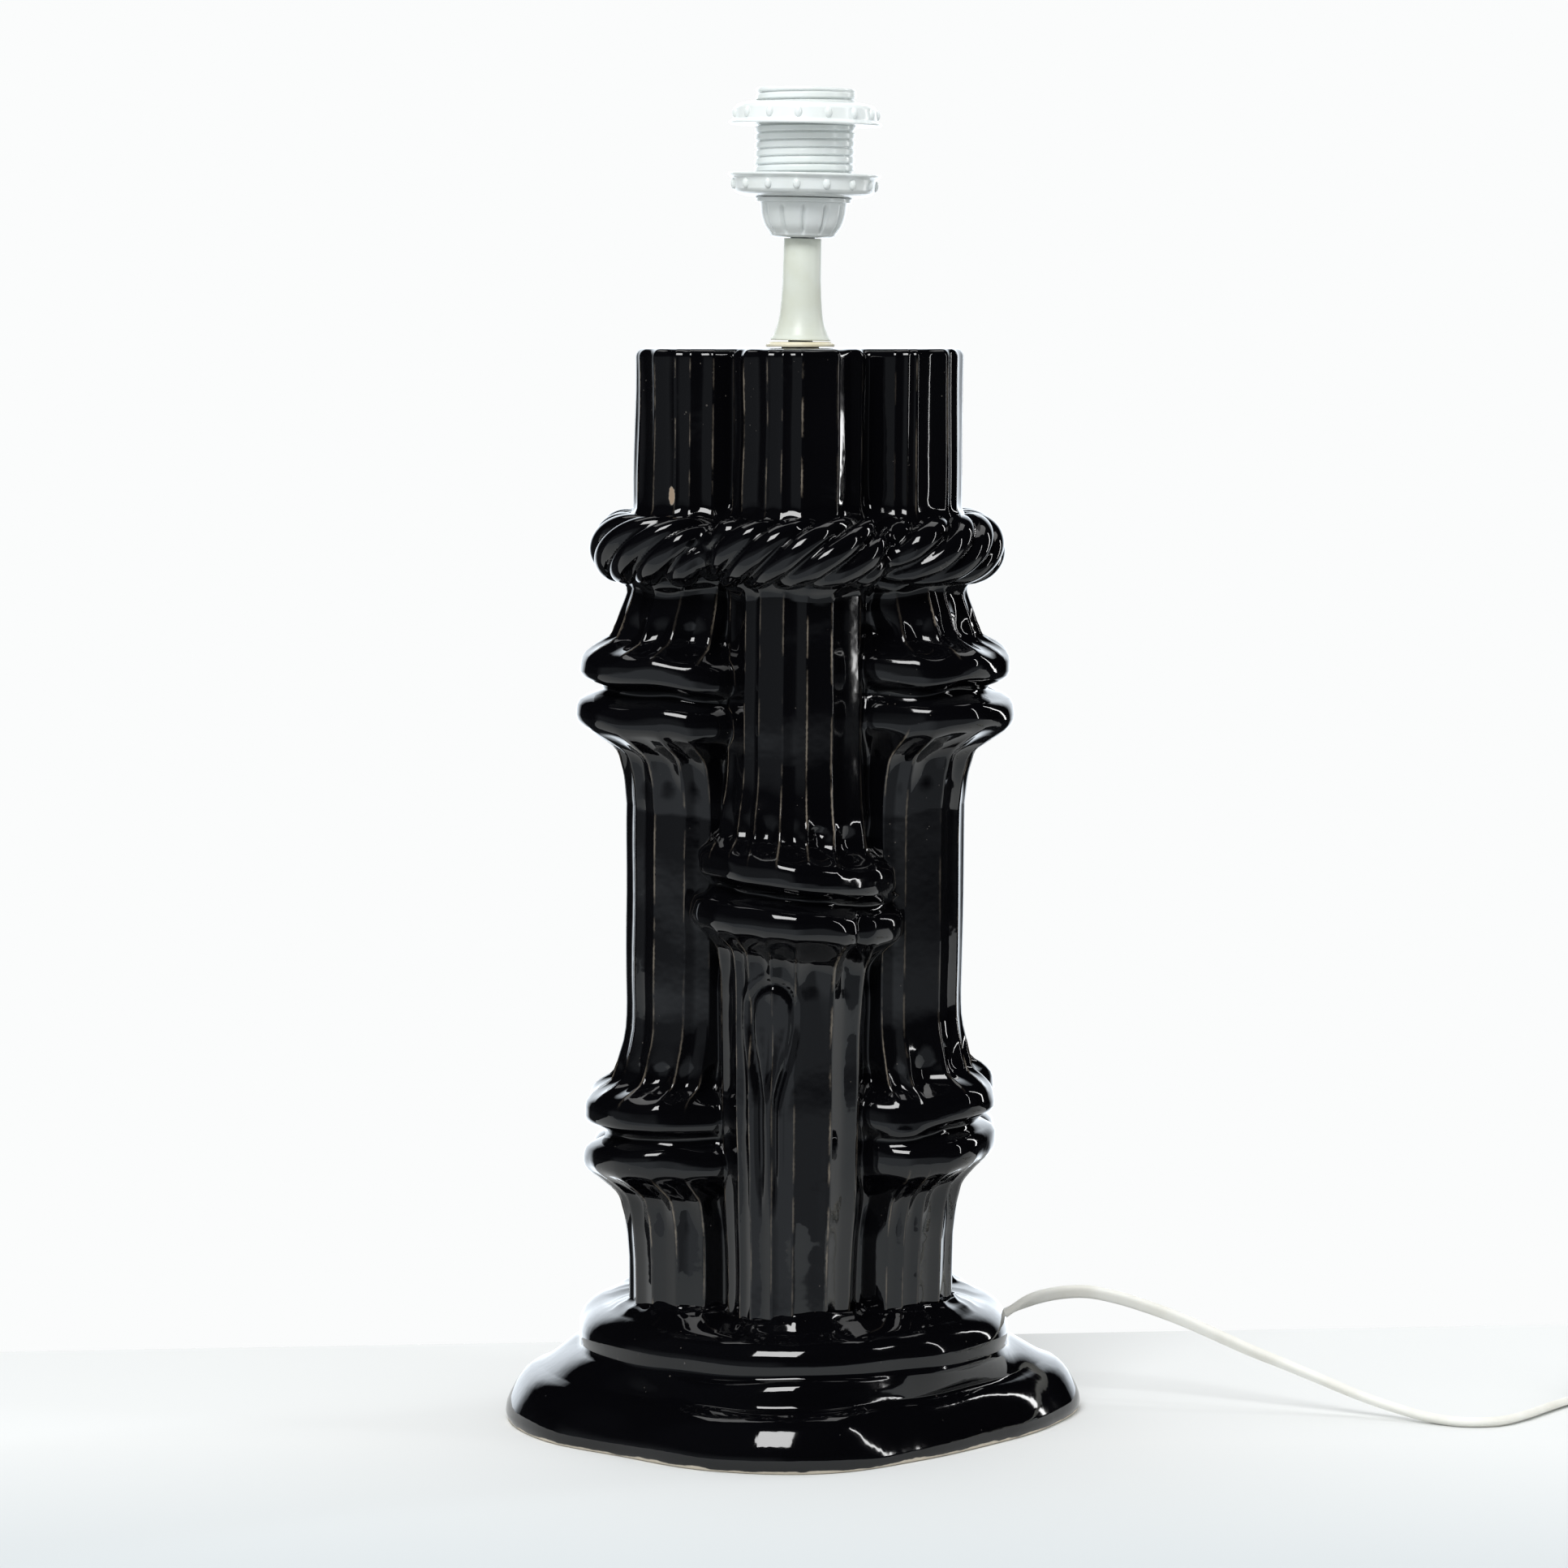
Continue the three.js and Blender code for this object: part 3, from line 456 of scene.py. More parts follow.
def flute(stalk, around, ridges, depth):
    """How deep the scraped flats lie under the stalk's round at each angle."""
    knots = np.concatenate([[np.radians(-104)], ridges, [np.radians(104)]])
    place = np.interp(around, knots, np.arange(FACETS + 1))
    facet = np.clip(place.astype(int), 0, FACETS - 1)
    span = np.degrees(np.diff(knots))[facet]
    across = place - facet
    return depth * np.clip(span / 21, 0.4, 1.5) * (1 - np.abs(2 * across - 1) ** 1.7)


# cane joints: stalk, height of the waist, how far the lips move out, how much they widen, and their tilt
JOINTS = [
    (0, 217, 8.5, 9.5, -3.5),
    (1, 295.9, 12, 8.5, 1.5), (1, 123.7, 10, 5.5, 1.5),
    (2, 295.7, 13, 8, 2), (2, 121, 12, 7, -2),
    (3, 214, 5, 8, 2),
    (4, 292.7, 14, 8.5, -1.5), (4, 112.5, 12, 7, 2),
    (5, 294.3, 12.5, 8.5, -1.5), (5, 119, 11, 6.5, 1),
]
LIP_RISE = (-46, -31, -24, -19, -14, -8.5, -3.5, -0.6, 1.2, 4.5, 9.5, 14, 17, 20, 24, 30, 38, 48)
LIP_SHARE = (0, 0.12, 0.27, 0.6, 0.94, 1.0, 0.84, 0.46, 0.52, 0.91, 1.0, 0.95, 0.76, 0.45, 0.31, 0.2, 0.06, 0)


def joint_rise(joint, around, height):
    """The height above a joint's waist, which wavers round the stalk."""
    stalk, waist, _, _, tilt = joint
    seed = int(waist) + stalk
    waver = uneven(np.cos(around) * 20, np.sin(around) * 20, 0 * around, 11, seed) * 1.8
    return height - waist - tilt * np.sin(around) - waver


def skin_waver(radius, around, height, size, seed):
    """Slow unevenness of a stalk's skin, from about -1 to 1."""
    return uneven(radius * np.cos(around), radius * np.sin(around), height + 0 * around, size, seed)


def shaft_shape(stalk, around, height):
    around = np.asarray(around, float)
    belly = STALK_BELLY * math.sin(math.pi * np.clip((height - SHAFT_LOW) / SHAFT_SPAN, 0, 1))
    radius = STALK_RADIUS + belly + 0 * around
    push = 0 * around
    scraped = 1.25 + 0 * around
    for joint in JOINTS:
        if joint[0] != stalk:
            continue
        rise = joint_rise(joint, around, height)
        share = through(LIP_RISE, LIP_SHARE, rise)
        side = 1 if height > joint[1] else 2
        seed = int(joint[1]) + 7 * stalk + 31 * side
        lobes = uneven(np.cos(around) * 20, np.sin(around) * 20, rise * 0.6, 13, seed)
        narrow = uneven(np.cos(around) * 20, np.sin(around) * 20, rise * 0.5, 6, seed + 3)
        lip = smooth(24, 15, np.abs(rise))
        push = push + joint[2] * share
        radius = radius + joint[3] * share + lip * (2.5 * lobes + 0.7 * narrow)
        scraped = scraped * smooth(13.5, 18, np.abs(rise))
        scraped = scraped + 2.2 * hump(rise, 23, 6.5) + 1.7 * hump(rise, -26, 9)
        if stalk == 0:
            fold = hump(np.degrees(around), 47, 4.5) * smooth(-27, -20, rise) * smooth(-1, -6, rise)
            radius = radius - 4.5 * fold
    if stalk == 0 and height < 217:
        radius = radius + 2.2 * smooth(60, 120, height) * np.abs(np.sin(around)) ** 3
    lip_below_rope = smooth(334, 339.5, height + 1.2 * np.sin(5 * around + stalk))
    scraped = scraped * (1 - lip_below_rope)
    radius = radius + 3.2 * lip_below_rope - 1.5 * smooth(341, 346, height)
    radius = radius - flute(stalk, around, shaft_ridges(stalk, height), scraped)
    radius = radius + 0.35 * skin_waver(radius, around, height, 24, stalk)
    if stalk == 0:
        radius = radius + front_marks(around, height)
    return radius, push, height


def front_marks(around, height):
    """The knot above the front joint and the hairpin groove pressed in below it."""
    beside = STALK_RADIUS * around
    knot = np.hypot((beside - 7.5) / 4.9, (height - 243) / 2.6)
    marks = 0.9 * hump(knot, 1, 0.32) - 1.1 * hump(knot, 0, 0.55)
    if 84 < height < 196:
        top = 174
        half = 3 + 5.3 * smooth(134, 168, height)
        middle = -8 - 1.8 * smooth(168, 130, height)
        over = max(height - top, 0)
        loop = np.abs(np.hypot(beside - middle, over * 0.85) - half)
        slot = np.hypot(beside - middle, max(height - 170, 0))
        fade = smooth(88, 118, height)
        marks = marks - fade * (1.9 * hump(loop, 0, 1.0) - 0.5 * hump(loop, 2.6, 1.4))
        marks = marks - 1.5 * smooth(138, 150, height) * hump(slot, 0, 1.2)
    return marks


def shaft_ridges(stalk, height):
    """Ridges at a height: each section between joints has its own, and a joint's lips blend them."""
    waists = sorted(joint[1] for joint in JOINTS if joint[0] == stalk)
    ridges = ridge_angles(stalk, 0)
    for section, waist in enumerate(waists, 1):
        share = smooth(-9, 9, height - waist)
        ridges = ridges * (1 - share) + ridge_angles(stalk, section) * share
    return ridges


def wear_of(ring_rows, sections):
    """How thin the glaze is on each ridge: nothing on lips and in creases."""
    wear = np.zeros((len(ring_rows), RING))
    steps = np.arange(STALK_COLUMNS) / FACET_COLUMNS
    for index, height in enumerate(ring_rows):
        for stalk in range(STALKS):
            values = ridge_wear(stalk, sections(stalk, height))
            clear = 1.0
            for joint in JOINTS:
                if joint[0] == stalk:
                    clear *= smooth(13, 19, abs(height - joint[1]))
            clear *= 1 - smooth(330, 337, height) * (1 - smooth(364, 370, height))
            wear[index, stalk * STALK_COLUMNS:(stalk + 1) * STALK_COLUMNS] = clear * np.interp(
                steps, np.arange(FACETS + 1), values)
    return wear


def shaft_section(stalk, height):
    return sum(height > joint[1] for joint in JOINTS if joint[0] == stalk)


def inner_ring(ring, radius, height):
    """A ring on the round inner wall, each point behind its point of the outer ring."""
    middle = lean(height)
    turn = np.arctan2(ring[:, 1], ring[:, 0] - middle)
    return np.stack([middle + radius * np.cos(turn), radius * np.sin(turn), height + 0 * turn], -1)


def column_shafts():
    fine = [(78, 152, 1.9), (176, 250, 1.6), (250, 342, 1.9)]
    heights = [COLUMN_FOOT - 1, 52, 55, 59, 64, 69]
    for low, high, step in fine:
        heights += list(np.arange(low, high, step))
        if high == 152:
            heights += [156, 161, 166, 171]
    heights = np.array(heights + [343.5, 346, ROPE_HEIGHT])
    rings = bundle_rings(heights, shaft_shape, shaft_ridges)
    wear = wear_of(heights, shaft_section)
    inside = [
        inner_ring(rings[-1], WALL_RADIUS, ROPE_HEIGHT),
        inner_ring(rings[0], WALL_RADIUS, COLUMN_FOOT - 1),
    ]
    wear = np.concatenate([wear, np.zeros((2, RING))])
    piece = loft("column_shafts", np.concatenate([rings, inside]), FINISHES["black_glaze"],
                 1 / FACET_COLUMNS, {"thin": wear})
    return piece, rings


def top_shape(stalk, around, row):
    height, inset = row
    around = np.asarray(around, float)
    scraped = 1.35 * smooth(362, 370, height)
    radius = STALK_RADIUS + 0.6 - inset + 4.5 * (1 - smooth(358, 368, height)) + 0 * around
    radius = radius - flute(stalk, around, ridge_angles(stalk, "top"), scraped)
    radius = radius + 0.35 * skin_waver(radius, around, height, 22, 40 + stalk)
    return radius, 0 * around, height


TUBE_HOLE = 8.0                # hole in the top for the threaded tube
PLATE_UNDERSIDE = 423


def column_top():
    rise = [ROPE_HEIGHT, 356, 359, 361, 363, 365, 367, 369, 372, 376, 382, 389, 397, 405, 413, 419, 423.5]
    rim = [(3.4 * (1 - math.cos(a)), 426.4 + 3.4 * math.sin(a)) for a in np.radians(np.linspace(0, 90, 8))]
    rows = [(height, 0) for height in rise] + [(height, inset) for inset, height in rim]
    rings = bundle_rings(rows, top_shape, lambda stalk, row: ridge_angles(stalk, "top"))
    brink = rings[-1]
    hole = np.array([STACK_FOOT[0], 0, COLUMN_TOP])
    turn = np.arctan2(brink[:, 1], brink[:, 0] - hole[0])

    def circle(radius, height):
        return np.stack([hole[0] + radius * np.cos(turn), radius * np.sin(turn), height + 0 * turn], -1)

    plate = []
    for share in (0.12, 0.3, 0.5, 0.72, 0.9):
        ring = brink * (1 - share) + circle(TUBE_HOLE + 0.6, COLUMN_TOP) * share
        ring[:, 2] = COLUMN_TOP - 0.35 * math.sin(math.pi * share)
        plate.append(ring)
    plate += [circle(TUBE_HOLE + 0.6, COLUMN_TOP - 0.1), circle(TUBE_HOLE + 0.1, COLUMN_TOP - 0.6)]
    plate += [circle(TUBE_HOLE, PLATE_UNDERSIDE)]
    plate += [circle(44, PLATE_UNDERSIDE), inner_ring(brink, WALL_RADIUS, ROPE_HEIGHT)]
    wear = wear_of([row[0] for row in rows], lambda stalk, height: "top")
    wear *= (np.array([row[0] for row in rows]) < 424)[:, None]
    wear = np.concatenate([wear, np.zeros((len(plate), RING))])
    return loft("column_top", np.concatenate([rings, plate]), FINISHES["black_glaze"],
                1 / FACET_COLUMNS, {"thin": wear})


ROPE_STRANDS = 4.6             # strands seen round the rope's section
STRANDS_PER_STALK = 5.2


def rope_shape(stalk, around, section):
    """The rope at an angle of its own section: 0 is its outermost line, 90 degrees its top."""
    around = np.asarray(around, float)
    plain = ROPE_RING + ROPE_RADIUS * math.cos(section)
    reach = STALK_RING * math.cos(math.pi / 6) + math.sqrt(plain ** 2 - (STALK_RING / 2) ** 2)
    crease = math.atan2(reach / 2, reach * math.cos(math.pi / 6) - STALK_RING)
    along = STRANDS_PER_STALK * (stalk + 0.5 + 0.5 * around / crease)
    along = along + 0.16 * uneven(np.cos(around) * 20, np.sin(around) * 20, 9.0 * stalk + 0 * around, 12, 7)
    phase = along - ROPE_STRANDS * section / (2 * math.pi) - 0.05 * math.sin(2 * section)
    across = phase - np.floor(phase)
    strand = 1 - np.abs(2 * across - 1) ** 2.7
    pinch = 1 - 0.16 * smooth(0.75, 1.0, np.abs(around / crease))
    size = (9.9 + 3.7 * strand) * pinch
    return ROPE_RING + size * math.cos(section), 0 * around, ROPE_HEIGHT + 1.03 * size * math.sin(section)


def rope_band():
    sections = np.radians(np.linspace(-118, 118, 49))
    spread = np.radians(np.linspace(-80, 80, FACETS + 1)[1:-1])

    def even(stalk, section):
        plain = ROPE_RING + ROPE_RADIUS * math.cos(section)
        reach = STALK_RING * math.cos(math.pi / 6) + math.sqrt(plain ** 2 - (STALK_RING / 2) ** 2)
        crease = math.atan2(reach / 2, reach * math.cos(math.pi / 6) - STALK_RING)
        return spread / np.radians(100) * crease * 1.25

    rings = bundle_rings(sections, rope_shape, even, soften=8)
    back = [inner_ring(rings[-1], 50, ROPE_HEIGHT + 9), inner_ring(rings[0], 50, ROPE_HEIGHT - 9)]
    return loft("rope_band", np.concatenate([rings, back]), FINISHES["black_glaze"])


# ---- foot --------------------------------------------------------------------------------------

FOOT_RADII = (115.5, 111, 102, 106.5, 107, 97, 95.5, 105.5, 118, 106, 98, 103, 104.5, 100.5, 108)
CORD_HOLE = {"radius": 4.2, "mouth": (84, 29.9, 34.5), "turn": 19.6, "tilt": 25}


def foot_radius(angle):
    """The wavy outline of the lower step, through evenly spaced radii from the left side on."""
    radii = np.array(FOOT_RADII)
    count = len(radii)
    place = (angle + np.pi) / (2 * np.pi) * count
    index = np.floor(place).astype(int)
    t = place - index
    a, b, c, d = (radii[(index + step) % count] for step in (-1, 0, 1, 2))
    return b + 0.5 * t * (c - a + t * (2 * a - 5 * b + 4 * c - d + t * (3 * (b - c) + d - a)))


def step_radius(angle):
    """The upper step's outline: one shallow lobe for each stalk."""
    lobes = 0.0
    for stalk, depth in enumerate((2.4, 1.8, 1.6, 1.6, 1.8, 1.6)):
        crease = -math.pi / 2 + math.pi / STALKS + 2 * math.pi * stalk / STALKS
        away = np.angle(np.exp(1j * (angle - crease)))
        lobes = lobes - depth * hump(away, 0, 0.17)
    return 84.4 + 2 * np.cos(2 * angle) + lobes


def foot(shaft_rings):
    count = 420
    angle = np.linspace(-np.pi, np.pi, count, endpoint=False)
    base = shaft_rings[2]
    turn = np.arctan2(base[:, 1], base[:, 0] - lean(SHAFT_LOW))
    order = np.argsort(turn)
    reach = np.hypot(base[:, 0] - lean(SHAFT_LOW), base[:, 1])
    column = np.interp(angle, turn[order], reach[order], period=2 * np.pi)
    outer, step = foot_radius(angle), step_radius(angle)
    front = hump(angle, -1.55, 0.42)
    rows = []

    def row(radius, height):
        x, y = radius * np.cos(angle), radius * np.sin(angle)
        height = height + 0 * angle
        dent = uneven(x, y, height, 26, 3)
        swell = smooth(0.5, 6, height)
        radius = radius + 0.7 * dent * swell
        height = height + 0.5 * uneven(x, y, height, 20, 4) * swell
        rows.append(np.stack([radius * np.cos(angle), radius * np.sin(angle), height], -1))

    shoulder = [(0, 1.9), (0.5, 0.9), (1.6, 0.25), (4, 0), (7, 0.6), (10, 1.9), (13, 3.5), (16, 5.3),
                (18.6, 7.6), (20.5, 10.3), (21.6, 13.4)]
    for height, inset in shoulder:
        row(outer - inset, height)
    ledge_outer, ledge_inner = outer - 13.2, step + 1.6
    for share in np.linspace(0.1, 1, 12):
        smoothed = share * share * (3 - 2 * share)
        height = 21.6 + 9.2 * (0.62 * share + 0.38 * smoothed)
        bank = 4.0 * smooth(0.30, 0.52, share) * (1 - 0.7 * smooth(0.7, 1, share))
        tier = front * (bank - 2.0 * hump(share, 0.26, 0.14))
        row(ledge_outer * (1 - share) + ledge_inner * share, height + tier)
    riser = [
        (32.2, 0.8), (34, 0.9), (36.5, 1.2), (39, 1.0), (41.5, 0), (43.8, -1.7), (45.8, -4.2), (47.4, -7.4),
    ]
    for height, offset in riser:
        row(step + offset, height)
    brink = step - 7.4
    for share in (0.2, 0.42, 0.6, 0.74, 0.84, 0.91, 0.96, 1.0, 1.06):
        radius = brink * (1 - share) + (column - 0.4) * share
        x, y = radius * np.cos(angle), radius * np.sin(angle)
        climb = 3.6 * np.exp(-np.abs(radius - column) / 2.3) * (1 + 0.4 * uneven(x, y, 0 * angle, 9, 12))
        row(radius, 47.4 + 3.0 * smooth(0, 0.6, share) + climb)
    row(0 * angle + 44, 50)
    row(0 * angle + 44, 46)
    inside = (
        (step - 15, 46), (step - 9, 39), (step - 9, 30), (step - 7, 24), (outer - 13, 16),
        (outer - 10.5, 8), (outer - 9.5, 1.2), (outer - 9, 0.3), (outer - 8, 0),
    )
    for radius, height in inside:
        rows.append(np.stack([radius * np.cos(angle), radius * np.sin(angle), height + 0 * angle], -1))
    piece = loft("stepped_foot", np.array(rows), FINISHES["black_glaze"])
    return piece


def drill_cord_hole(piece):
    """The hole for the cord through the upper step, at the rear right."""
    bm = bmesh.new()
    bmesh.ops.create_cone(bm, cap_ends=True, segments=40, radius1=CORD_HOLE["radius"] * MM,
                          radius2=CORD_HOLE["radius"] * MM, depth=0.05)
    mesh = bpy.data.meshes.new("cord_drill")
    bm.to_mesh(mesh)
    bm.free()
    drill = bpy.data.objects.new("cord_drill", mesh)
    scene.collection.objects.link(drill)
    drill.rotation_euler = (0, math.radians(90 - CORD_HOLE["tilt"]), math.radians(CORD_HOLE["turn"]))
    drill.location = [value * MM for value in CORD_HOLE["mouth"]]
    cut = piece.modifiers.new("cord_hole", "BOOLEAN")
    cut.operation = "DIFFERENCE"
    cut.solver = "EXACT"
    cut.object = drill
    bpy.context.view_layer.update()
    cut_mesh = bpy.data.meshes.new_from_object(piece.evaluated_get(bpy.context.evaluated_depsgraph_get()))
    piece.modifiers.clear()
    piece.data = cut_mesh
    bpy.data.objects.remove(drill)
    bpy.data.meshes.remove(mesh)


shafts, shaft_rings = column_shafts()
top = column_top()
rope = rope_band()
stepped_foot = foot(shaft_rings)
drill_cord_hole(stepped_foot)
for piece in (shafts, top, rope, stepped_foot):
    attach(piece, "lamp")
    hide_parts("ceramic_body")


# ---- neck and lampholder -----------------------------------------------------------------------

def turned_piece(name, outline, slot, node, body="lamp", sides=128, lean_it=True, cut=0.3, change=None):
    rings = turned_rings(eased(outline, cut), sides)
    if change is not None:
        rings = change(rings)
    piece = loft(name, stacked(rings) if lean_it else rings, FINISHES[slot])
    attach(piece, body)
    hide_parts(node)
    return piece


def neck_and_seat():
    seat = [
        (7.5, 424.5), (7.5, 430.3), (13.7, 430.3), (13.7, 431.5), (12.3, 431.7), (12.3, 432.3),
        (5.9, 432.3), (5.9, 424.5),
    ]
    rise = np.linspace(4.9, 26, 14)
    flare = [(through((4.9, 8.2, 11.5, 18, 26), (11.0, 9.7, 8.85, 8.1, 7.7), h), h) for h in rise]
    flare = [(float(r), float(h)) for r, h in flare]
    sleeve = [(12, 2.9), (12, 3.5), *flare, (7.5, 43.5), (5.5, 43.5), (5.5, 2.9)]
    turned_piece("tube_sleeve", sleeve, "neck_plastic", "neck_sleeve", cut=0.35)
    rings = turned_rings(eased(seat, 0.3), 96)
    rings[..., 0] += STACK_FOOT[0]
    piece = loft("sleeve_seat", rings, FINISHES["seat_plastic"])
    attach(piece, "lamp")
    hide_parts("neck_flange")


GADROONS = 12


def gadrooned(rings):
    """Presses twelve upright hollows with sharp grooves between them into the cap's bowl."""
    radius = np.hypot(rings[..., 0], rings[..., 1])
    height = rings[..., 2]
    turn = np.arctan2(rings[..., 1], rings[..., 0])
    across = np.abs(((turn / (2 * np.pi) * GADROONS + 0.5) % 1) - 0.5) * 2
    groove = np.clip(1 - across / 0.27, 0, 1)
    outside = (radius > 11.8) & (height < 57.2)
    depth = 1.4 * smooth(44.2, 47, height) * smooth(57.3, 55.2, height)
    moved = 1 - np.where(outside, depth * groove, 0) / radius
    return rings * np.stack([moved, moved, np.ones_like(moved)], -1)


def cap():
    bowl = [(float(through((45.4, 48, 52, 57.6), (13.3, 15.3, 16.8, 17.5), h)), float(h))
            for h in np.linspace(45.4, 57.4, 14)]
    outline = [
        (5.25, 43.9), (11.5, 43.9), (12.8, 44.5), *bowl, (17.5, 57.8), (19.2, 57.8), (19.2, 59.6),
        (15.4, 59.6), (15.3, 52), (13.6, 48.6), (7.4, 46.7), (7.4, 52.5), (5.25, 52.5),
    ]
    turned_piece(
        "holder_bowl", outline, "holder_plastic", "holder_cap", cut=0.25, sides=192, change=gadrooned)


THREAD_PITCH = 3.2
SKIRT_FOOT, SKIRT_TOP = 59.9, 103.1


def threaded(rings):
    """Cuts the skirt's right-handed outer thread: broad flat bands with narrow deep grooves between them."""
    radius = np.hypot(rings[..., 0], rings[..., 1])
    height = rings[..., 2]
    turn = np.arctan2(rings[..., 1], rings[..., 0])
    place = (height / THREAD_PITCH - turn / (2 * np.pi)) % 1
    groove = 1 - smooth(0.02, 0.2, np.minimum(place, 1 - place))
    ends = smooth(61, 62.5, height) * smooth(102.4, 101.2, height)
    moved = 1 - np.where(radius > 19.5, 1.3 * groove * ends, 0) / radius
    return rings * np.stack([moved, moved, np.ones_like(moved)], -1)


def skirt():
    crest = 20.0
    side = [(crest, float(h)) for h in np.arange(SKIRT_FOOT + 0.6, SKIRT_TOP - 0.5, 0.28)]
    outline = [(13.4, 53), (15, 53), (15, 59.9), (19.4, 59.9)]
    inner = [(17.8, 103.1), (17.8, 66), (15.4, 66), (15.4, 101.5), (13.3, 101.5), (13.3, 76.9), (12.4, 76.9),
             (12.4, 75), (13.4, 75)]
    outline = eased(outline, 0.2) + side + eased([(19.6, 103.1), *inner], 0.25)
    rings = threaded(turned_rings(outline, 160))
    piece = loft("threaded_skirt", stacked(rings), FINISHES["holder_plastic"])
    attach(piece, "lamp")
    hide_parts("holder_sleeve")


NUBS = 15


def nub_tree():
    """Geometry nodes: oval grip nubs set evenly round a ring's side wall."""
    tree = bpy.data.node_groups.new("grip_nubs", "GeometryNodeTree")
    face = tree.interface
    for name, kind, value in (("Count", "NodeSocketInt", NUBS), ("Radius", "NodeSocketFloat", 0.0284),
                              ("Height", "NodeSocketFloat", 0.0), ("Nub", "NodeSocketVector", (1, 1, 1)),
                              ("Finish", "NodeSocketMaterial", None)):
        socket = face.new_socket(name, in_out="INPUT", socket_type=kind)
        if value is not None:
            socket.default_value = value
    face.new_socket("Geometry", in_out="OUTPUT", socket_type="NodeSocketGeometry")
    given = add(tree, "NodeGroupInput").outputs
    circle = add(tree, "GeometryNodeMeshCircle", {
        "Vertices": given["Count"], "Radius": given["Radius"],
    }).outputs[0]
    lift = add(tree, "ShaderNodeCombineXYZ", {2: given["Height"]}).outputs[0]
    raised = add(tree, "GeometryNodeSetPosition", {"Geometry": circle, "Offset": lift}).outputs[0]
    ball = add(tree, "GeometryNodeMeshUVSphere", {"Segments": 20, "Rings": 12, "Radius": 1.0}).outputs[0]
    where = add(tree, "GeometryNodeInputPosition").outputs[0]
    flat = add(tree, "ShaderNodeVectorMath", {0: where, 1: (1, 1, 0)}, operation="MULTIPLY").outputs[0]
    turn = add(tree, "FunctionNodeAlignRotationToVector", {"Vector": flat}, axis="X").outputs[0]
    nubs = add(tree, "GeometryNodeInstanceOnPoints", {
        "Points": raised, "Instance": ball, "Rotation": turn, "Scale": given["Nub"],
    }).outputs[0]
    solid = add(tree, "GeometryNodeRealizeInstances", {0: nubs}).outputs[0]
    rounded = add(tree, "GeometryNodeSetShadeSmooth", {"Geometry": solid}).outputs[0]
    coated = add(tree, "GeometryNodeSetMaterial", {
        "Geometry": rounded, "Material": given["Finish"],
    }).outputs[0]
    add(tree, "NodeGroupOutput", {0: coated})
    return tree


def grown(name, tree, values):
    """Runs a geometry node tree on an empty mesh and keeps the result as a plain mesh."""
    carrier = bpy.data.objects.new(name, bpy.data.meshes.new(name))
    scene.collection.objects.link(carrier)
    modifier = carrier.modifiers.new("made", "NODES")
    modifier.node_group = tree
    sockets = {item.name: item.identifier for item in tree.interface.items_tree if item.item_type == "SOCKET"}
    for key, value in values.items():
        modifier[sockets[key]] = value
    bpy.context.view_layer.update()
    mesh = bpy.data.meshes.new_from_object(carrier.evaluated_get(bpy.context.evaluated_depsgraph_get()))
    carrier.modifiers.clear()
    carrier.data = mesh
    return carrier


def place_stacked(piece):
    """Moves a mesh made in the lampholder's upright frame to where the lampholder stands."""
    mesh = piece.data
    points = np.empty(len(mesh.vertices) * 3)
    mesh.vertices.foreach_get("co", points)
    moved = stacked(points.reshape(-1, 3) / MM) * MM
    mesh.vertices.foreach_set("co", moved.ravel())
    mesh.update()


def shade_rings():
    tree = nub_tree()
    section = [
        (20.35, 0), (30.5, 0), (30.5, 0.9), (28.8, 1.9), (28.3, 6.4), (27.4, 7.6), (25.6, 8.4), (22, 9.1),
        (20.35, 9.1),
    ]
    for name, node, body, face, way in (
            ("upper_clamp_ring", "shade_ring_upper", "upper_ring", 88.6, 1),
            ("lower_clamp_ring", "shade_ring_lower", "lower_ring", 69.1, -1)):
        outline = [(radius, face + way * rise) for radius, rise in section]
        if way < 0:
            outline.reverse()
        turned_piece(name, outline, "holder_plastic", node, body, cut=0.35, sides=120)
        nubs = grown(name + "_nubs", tree, {
            "Count": NUBS, "Radius": 0.0282, "Height": (face + way * 4.3) * MM,
            "Nub": (0.0016, 0.0016, 0.0023), "Finish": FINISHES["holder_plastic"],
        })
        place_stacked(nubs)
        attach(nubs, body)
        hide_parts(node)


neck_and_seat()
cap()
skirt()
shade_rings()


# ---- switch, plug and tie ----------------------------------------------------------------------

nodes = frame["nodes"]
slots = {part["node"]: part["material_slot"] for part in frame["record"]["subparts"]}
bodies = {node: body for body, held in frame["record"]["behaviour"]["bodies"].items() for node in held}


FLAT_WITHIN = math.radians(1)          # neighbouring faces this close become one
ROUNDED_ABOVE = math.radians(35)       # edges sharper than this are rounded over
SHADED_SHARP_ABOVE = math.radians(38)


def softened(node_name, name, ease):
    """A moulded piece with its sharp edges rounded over by `ease` millimetres."""
    mesh = nodes[node_name].data.copy()
    mesh.materials.clear()
    bm = bmesh.new()
    bm.from_mesh(mesh)
    bmesh.ops.remove_doubles(bm, verts=bm.verts, dist=1e-6)
    bmesh.ops.dissolve_limit(bm, angle_limit=FLAT_WITHIN, verts=bm.verts, edges=bm.edges)
    shared = [edge for edge in bm.edges if len(edge.link_faces) == 2]
    sharp = [edge for edge in shared if edge.calc_face_angle() > ROUNDED_ABOVE]
    bmesh.ops.bevel(
        bm, geom=sharp, offset=ease * MM, segments=3, profile=0.5, affect="EDGES", clamp_overlap=True)
    bmesh.ops.triangulate(bm, faces=bm.faces)
    bm.to_mesh(mesh)
    bm.free()
    piece = new_object(name, mesh, FINISHES[slots[node_name]])
    mesh.set_sharp_from_angle(angle=SHADED_SHARP_ABOVE)
    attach(piece, bodies[node_name])
    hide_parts(node_name)
    return piece


